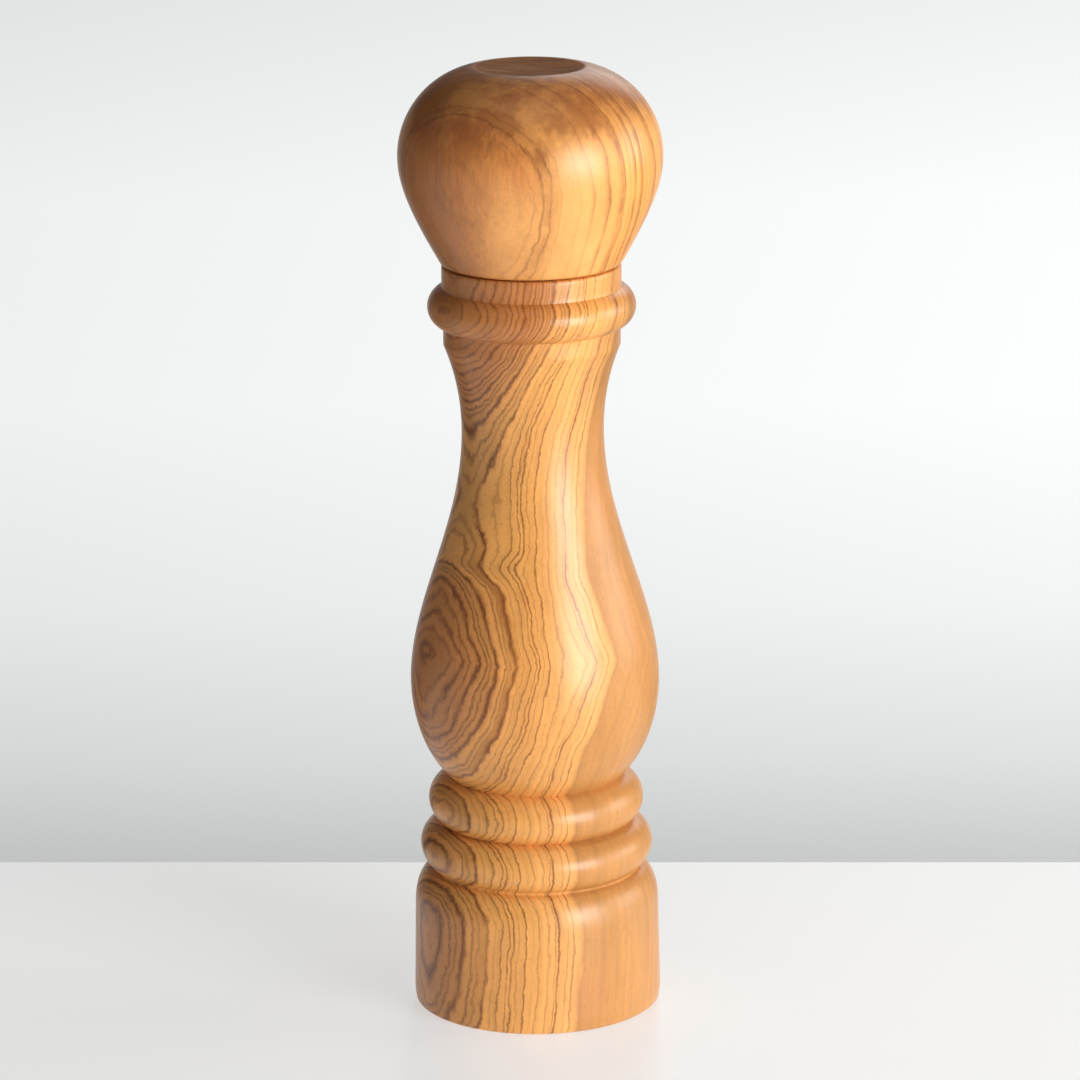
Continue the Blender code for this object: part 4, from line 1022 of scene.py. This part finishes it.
pocket = polar_polygon(6, 4.39 * math.cos(math.pi / 6), 0.2, 160, math.pi / 6)
knob = loft("adjusting_knob_moulded", [
    at(scaled(lobes(1.0), 0.80), 0.90), at(scaled(lobes(1.0), 0.86), 0.93), at(scaled(lobes(1.0), 0.92), 1.06),
    at(scaled(lobes(1.0), 0.965), 1.30), at(scaled(lobes(1.0), 0.99), 1.65), at(lobes(1.0), 2.1),
    at(lobes(1.0), 7.1), at(scaled(lobes(1.0), 0.985), 7.4), at(scaled(lobes(1.0), 0.95), 7.62),
    at(scaled(lobes(1.0), 0.92), 7.7), at(pocket, 7.7), at(pocket, 3.9), at(circle(2.5, 160), 3.9),
    at(circle(2.5, 160), 2.2)], angle=30.0)
# a raised wedge that widens round the face: finer one way, coarser the other
wedge = []
for i in range(33):
    a = math.radians(200 + 140 * i / 32)
    wedge.append(((4.9 + 0.15 + 0.75 * i / 32) * math.cos(a), (4.9 + 0.15 + 0.75 * i / 32) * math.sin(a)))
for i in range(32, -1, -1):
    a = math.radians(200 + 140 * i / 32)
    wedge.append(((4.9 - 0.15 - 0.75 * i / 32) * math.cos(a), (4.9 - 0.15 - 0.75 * i / 32) * math.sin(a)))
cut(knob, [plate("wedge_mark", [wedge], 0.66, 1.4, 0.06)], "UNION", 30.0)
stand_for(knob, "adjusting_knob", "adjuster", "black_plastic")
stand_for(plate("adjusting_nut_turned", [polar_polygon(6, 4.04 * math.cos(math.pi / 6), 0.1, 96, math.pi / 6),
                                         circle(2.12, 48)], 4.2, 7.4, 0.18),
          "adjusting_nut", "adjuster", "nut_brass")


# ================================================================ screws
def wood_screw(name, x, y, z, length, turn, body_name, node):
    """Countersunk screw pointing up: tapered thread, plain neck, cross recess."""
    n = 36
    rows = []
    for s_z in np.linspace(length, 3.2, int((length - 3.2) * 9)):
        s_z = float(s_z)
        core = 0.82 * min((length - s_z) / 2.4, 1.0) + 0.04
        crest = 0.31 * min((length - s_z) / 1.8, 1.0) * min((s_z - 3.2) / 0.6 + 0.02, 1.0)
        section = []
        for i in range(n):
            a = TAU * i / n
            phase = (s_z / 1.25 - a / TAU) % 1.0
            ridge = max(0.0, 1.0 - abs(phase - 0.5) * 4.2)
            section.append(((core + crest * ridge) * math.cos(a), (core + crest * ridge) * math.sin(a), s_z))
        rows.append(section)
    rows += [at(circle(0.95, n), 3.1), at(circle(1.0, n), 1.75), at(circle(1.15, n), 1.55),
             at(circle(2.4, n), 0.34), at(circle(2.5, n), 0.22), at(circle(2.5, n), 0.08), at(circle(2.38, n), 0.0)]
    obj = loft(name, rows, angle=38.0)
    tools = []
    for k in range(2):
        w = [(-1.45, -0.26), (1.45, -0.26), (1.45, 0.26), (-1.45, 0.26)]
        low_w = [(p[0] * 0.55, p[1] * 0.7) for p in w]
        tool = loft("%s_cross_%d" % (name, k), [at(w, -0.4), at(w, 0.0), at(low_w, 1.0)])
        tools.append(moved(tool, turn=math.pi / 2 * k))
    cut(obj, tools, angle=38.0)
    moved(obj, x, y, z, turn)
    return stand_for(obj, node, body_name, "spring_steel")


for i, (x, y) in enumerate(SCREW_SPOTS):
    wood_screw("flange_screw_%d" % (i + 1), x, y, 5.0, 13.0, 0.4 + 1.1 * i, "mill_body",
               "mechanism_screw_%d" % (i + 1))
for i, x in enumerate((9.4, -9.4)):
    wood_screw("insert_screw_%d" % (i + 1), x, 0.0, 171.25, 9.0, 0.7 + 0.9 * i, "head",
               "head_screw_%d" % (i + 1))

# ================================================================ head socket
N = 96
square_hole = polar_polygon(4, 2.7, 0.2, N)
insert = loft("drive_socket", [
    at(square_hole, 171.2), at(circle(12.1, N), 171.2), at(circle(12.3, N), 171.4), at(circle(12.3, N), 173.0),
    at(circle(12.1, N), 173.2), at(circle(6.15, N), 173.2), at(circle(6.0, N), 173.35), at(circle(6.0, N), 185.3),
    at(circle(5.4, N), 185.3), at(circle(5.4, N), 186.7), at(circle(6.0, N), 186.7), at(circle(6.0, N), 188.6),
    at(circle(5.6, N), 189.0), at(square_hole, 189.0)], ring=True)
slots = []
for k in range(2):
    w = [(-10.0, -0.5), (10.0, -0.5), (10.0, 0.5), (-10.0, 0.5)]
    slots.append(moved(loft("slit_%d" % k, [at(w, 180.0), at(w, 191.0)]), turn=math.pi / 2 * k))
cut(insert, slots + [countersink("insert_sink_%d" % i, x, 0.0, 171.25, 5.0) for i, x in enumerate((9.4, -9.4))])
stand_for(insert, "head_insert", "head", "black_plastic")
grip = tube("grip_ring_bent", [(5.95 * math.cos(math.radians(8 + 344 * i / 90)),
                                5.95 * math.sin(math.radians(8 + 344 * i / 90)), 186.0) for i in range(91)], 0.4)
stand_for(grip, "grip_ring", "head", "spring_steel")

# ================================================================ floor, wall, light, camera
TABLE_BACK_Y = 0.1006


def stage_plane(name, corners, material):
    mesh = bpy.data.meshes.new(name)
    mesh.from_pydata(corners, [], [(0, 1, 2, 3)])
    obj = link(bpy.data.objects.new(name, mesh))
    obj.data.materials.append(material)
    return obj


floor_mat = bpy.data.materials.new("table_satin_white")
t = Tree(floor_mat)
t.to("Base Color", (0.40, 0.402, 0.40))
t.to("Roughness", 0.34)
t.to("Specular IOR Level", 0.4)
t.to("Emission Color", (1.0, 1.0, 0.995))
t.to("Emission Strength", t.span(t.x, -330.0, 330.0, 0.585, 0.475, smooth=False))
# its far edge runs a touch out of square to the camera, so it reads level
stage_plane("table_top", [(-3.0, -3.0, -5e-5), (3.0, -3.0, -5e-5), (3.0, TABLE_BACK_Y - 0.0820, -5e-5),
                          (-3.0, TABLE_BACK_Y + 0.0820, -5e-5)], floor_mat)

wall_mat = bpy.data.materials.new("wall_pale")
t = Tree(wall_mat)
# brightest to the right at mid height, falling off towards the table line
sweep = t.span(t.x, -330.0, 330.0, 1.0, 1.14, smooth=False)
height = t.span(t.z, -660.0, -60.0, smooth=False)
shade = t.mul(t.ramp(height, [(0.0, 0.50), (0.05, 0.55), (0.15, 0.67), (0.32, 0.80), (0.54, 0.88),
                              (0.76, 0.87), (1.0, 0.76)]), sweep)
# past the edges of what is looked at, the wall falls away into a dim room
shade = t.mul(shade, t.span(t.x, -1300.0, -420.0, 0.18, 1.0), t.span(t.x, 1500.0, 420.0, 0.35, 1.0),
              t.span(t.z, 520.0, 40.0, 0.16, 1.0))
t.t.nodes.remove(t.bsdf)
glow = t.t.nodes.new("ShaderNodeEmission")
t.t.links.new(t.mix(1.0, (0.985, 1.0, 0.995), t.xyz(shade, shade, shade), "MULTIPLY"), glow.inputs["Color"])
t.t.links.new(glow.outputs[0], t.out.inputs[0])
stage_plane("wall", [(-3.0, 2.0, -2.0), (3.0, 2.0, -2.0), (3.0, 2.0, 3.0), (-3.0, 2.0, 3.0)], wall_mat)

world = bpy.data.worlds.new("studio")
bpy.context.scene.world = world
world.use_nodes = True
world.node_tree.nodes["Background"].inputs[0].default_value = (0.93, 0.96, 1.0, 1.0)
world.node_tree.nodes["Background"].inputs[1].default_value = 0.16


def softbox(name, azimuth, elevation, distance, width, height, power, colour=(1, 1, 1), aim=(0, 0, 0.12)):
    """Azimuth 0 is the camera's side, 90 the right."""
    data = bpy.data.lights.new(name, "AREA")
    data.shape, data.size, data.size_y = "RECTANGLE", width, height
    data.energy, data.color = power, colour
    obj = link(bpy.data.objects.new(name, data))
    a, e = math.radians(azimuth), math.radians(elevation)
    here = Vector((math.sin(a) * math.cos(e), -math.cos(a) * math.cos(e), math.sin(e))) * distance
    obj.location = here + Vector(aim)
    obj.rotation_mode = "QUATERNION"
    obj.rotation_quaternion = (-here).to_track_quat("-Z", "Y")
    return obj


softbox("key_window", 46, 10, 2.0, 1.15, 0.95, 41.0, (1.0, 0.985, 0.96))
softbox("side_window", 98, 11, 2.1, 1.2, 0.95, 15.0, (1.0, 0.985, 0.96))
softbox("back_window", 165, 25, 2.0, 1.0, 1.0, 6.0, (1.0, 0.99, 0.97))
softbox("ceiling", 20, 78, 1.4, 1.1, 1.1, 1.8, (0.98, 0.99, 1.0))

cam_data = bpy.data.cameras.new("camera")
cam_data.sensor_width = 36.0
cam_data.lens = 5279.0 / 1080.0 * 36.0
cam_data.clip_start, cam_data.clip_end = 0.05, 20.0
cam = link(bpy.data.objects.new("camera", cam_data))
cam.matrix_world = (Matrix.Translation((0.0015, -1.223, 0.4452))
                    @ Matrix.Rotation(math.radians(74.9), 4, "X")
                    @ Matrix.Rotation(math.radians(-0.5), 4, "Z"))
bpy.context.scene.camera = cam
bpy.context.scene.view_settings.view_transform = "Standard"
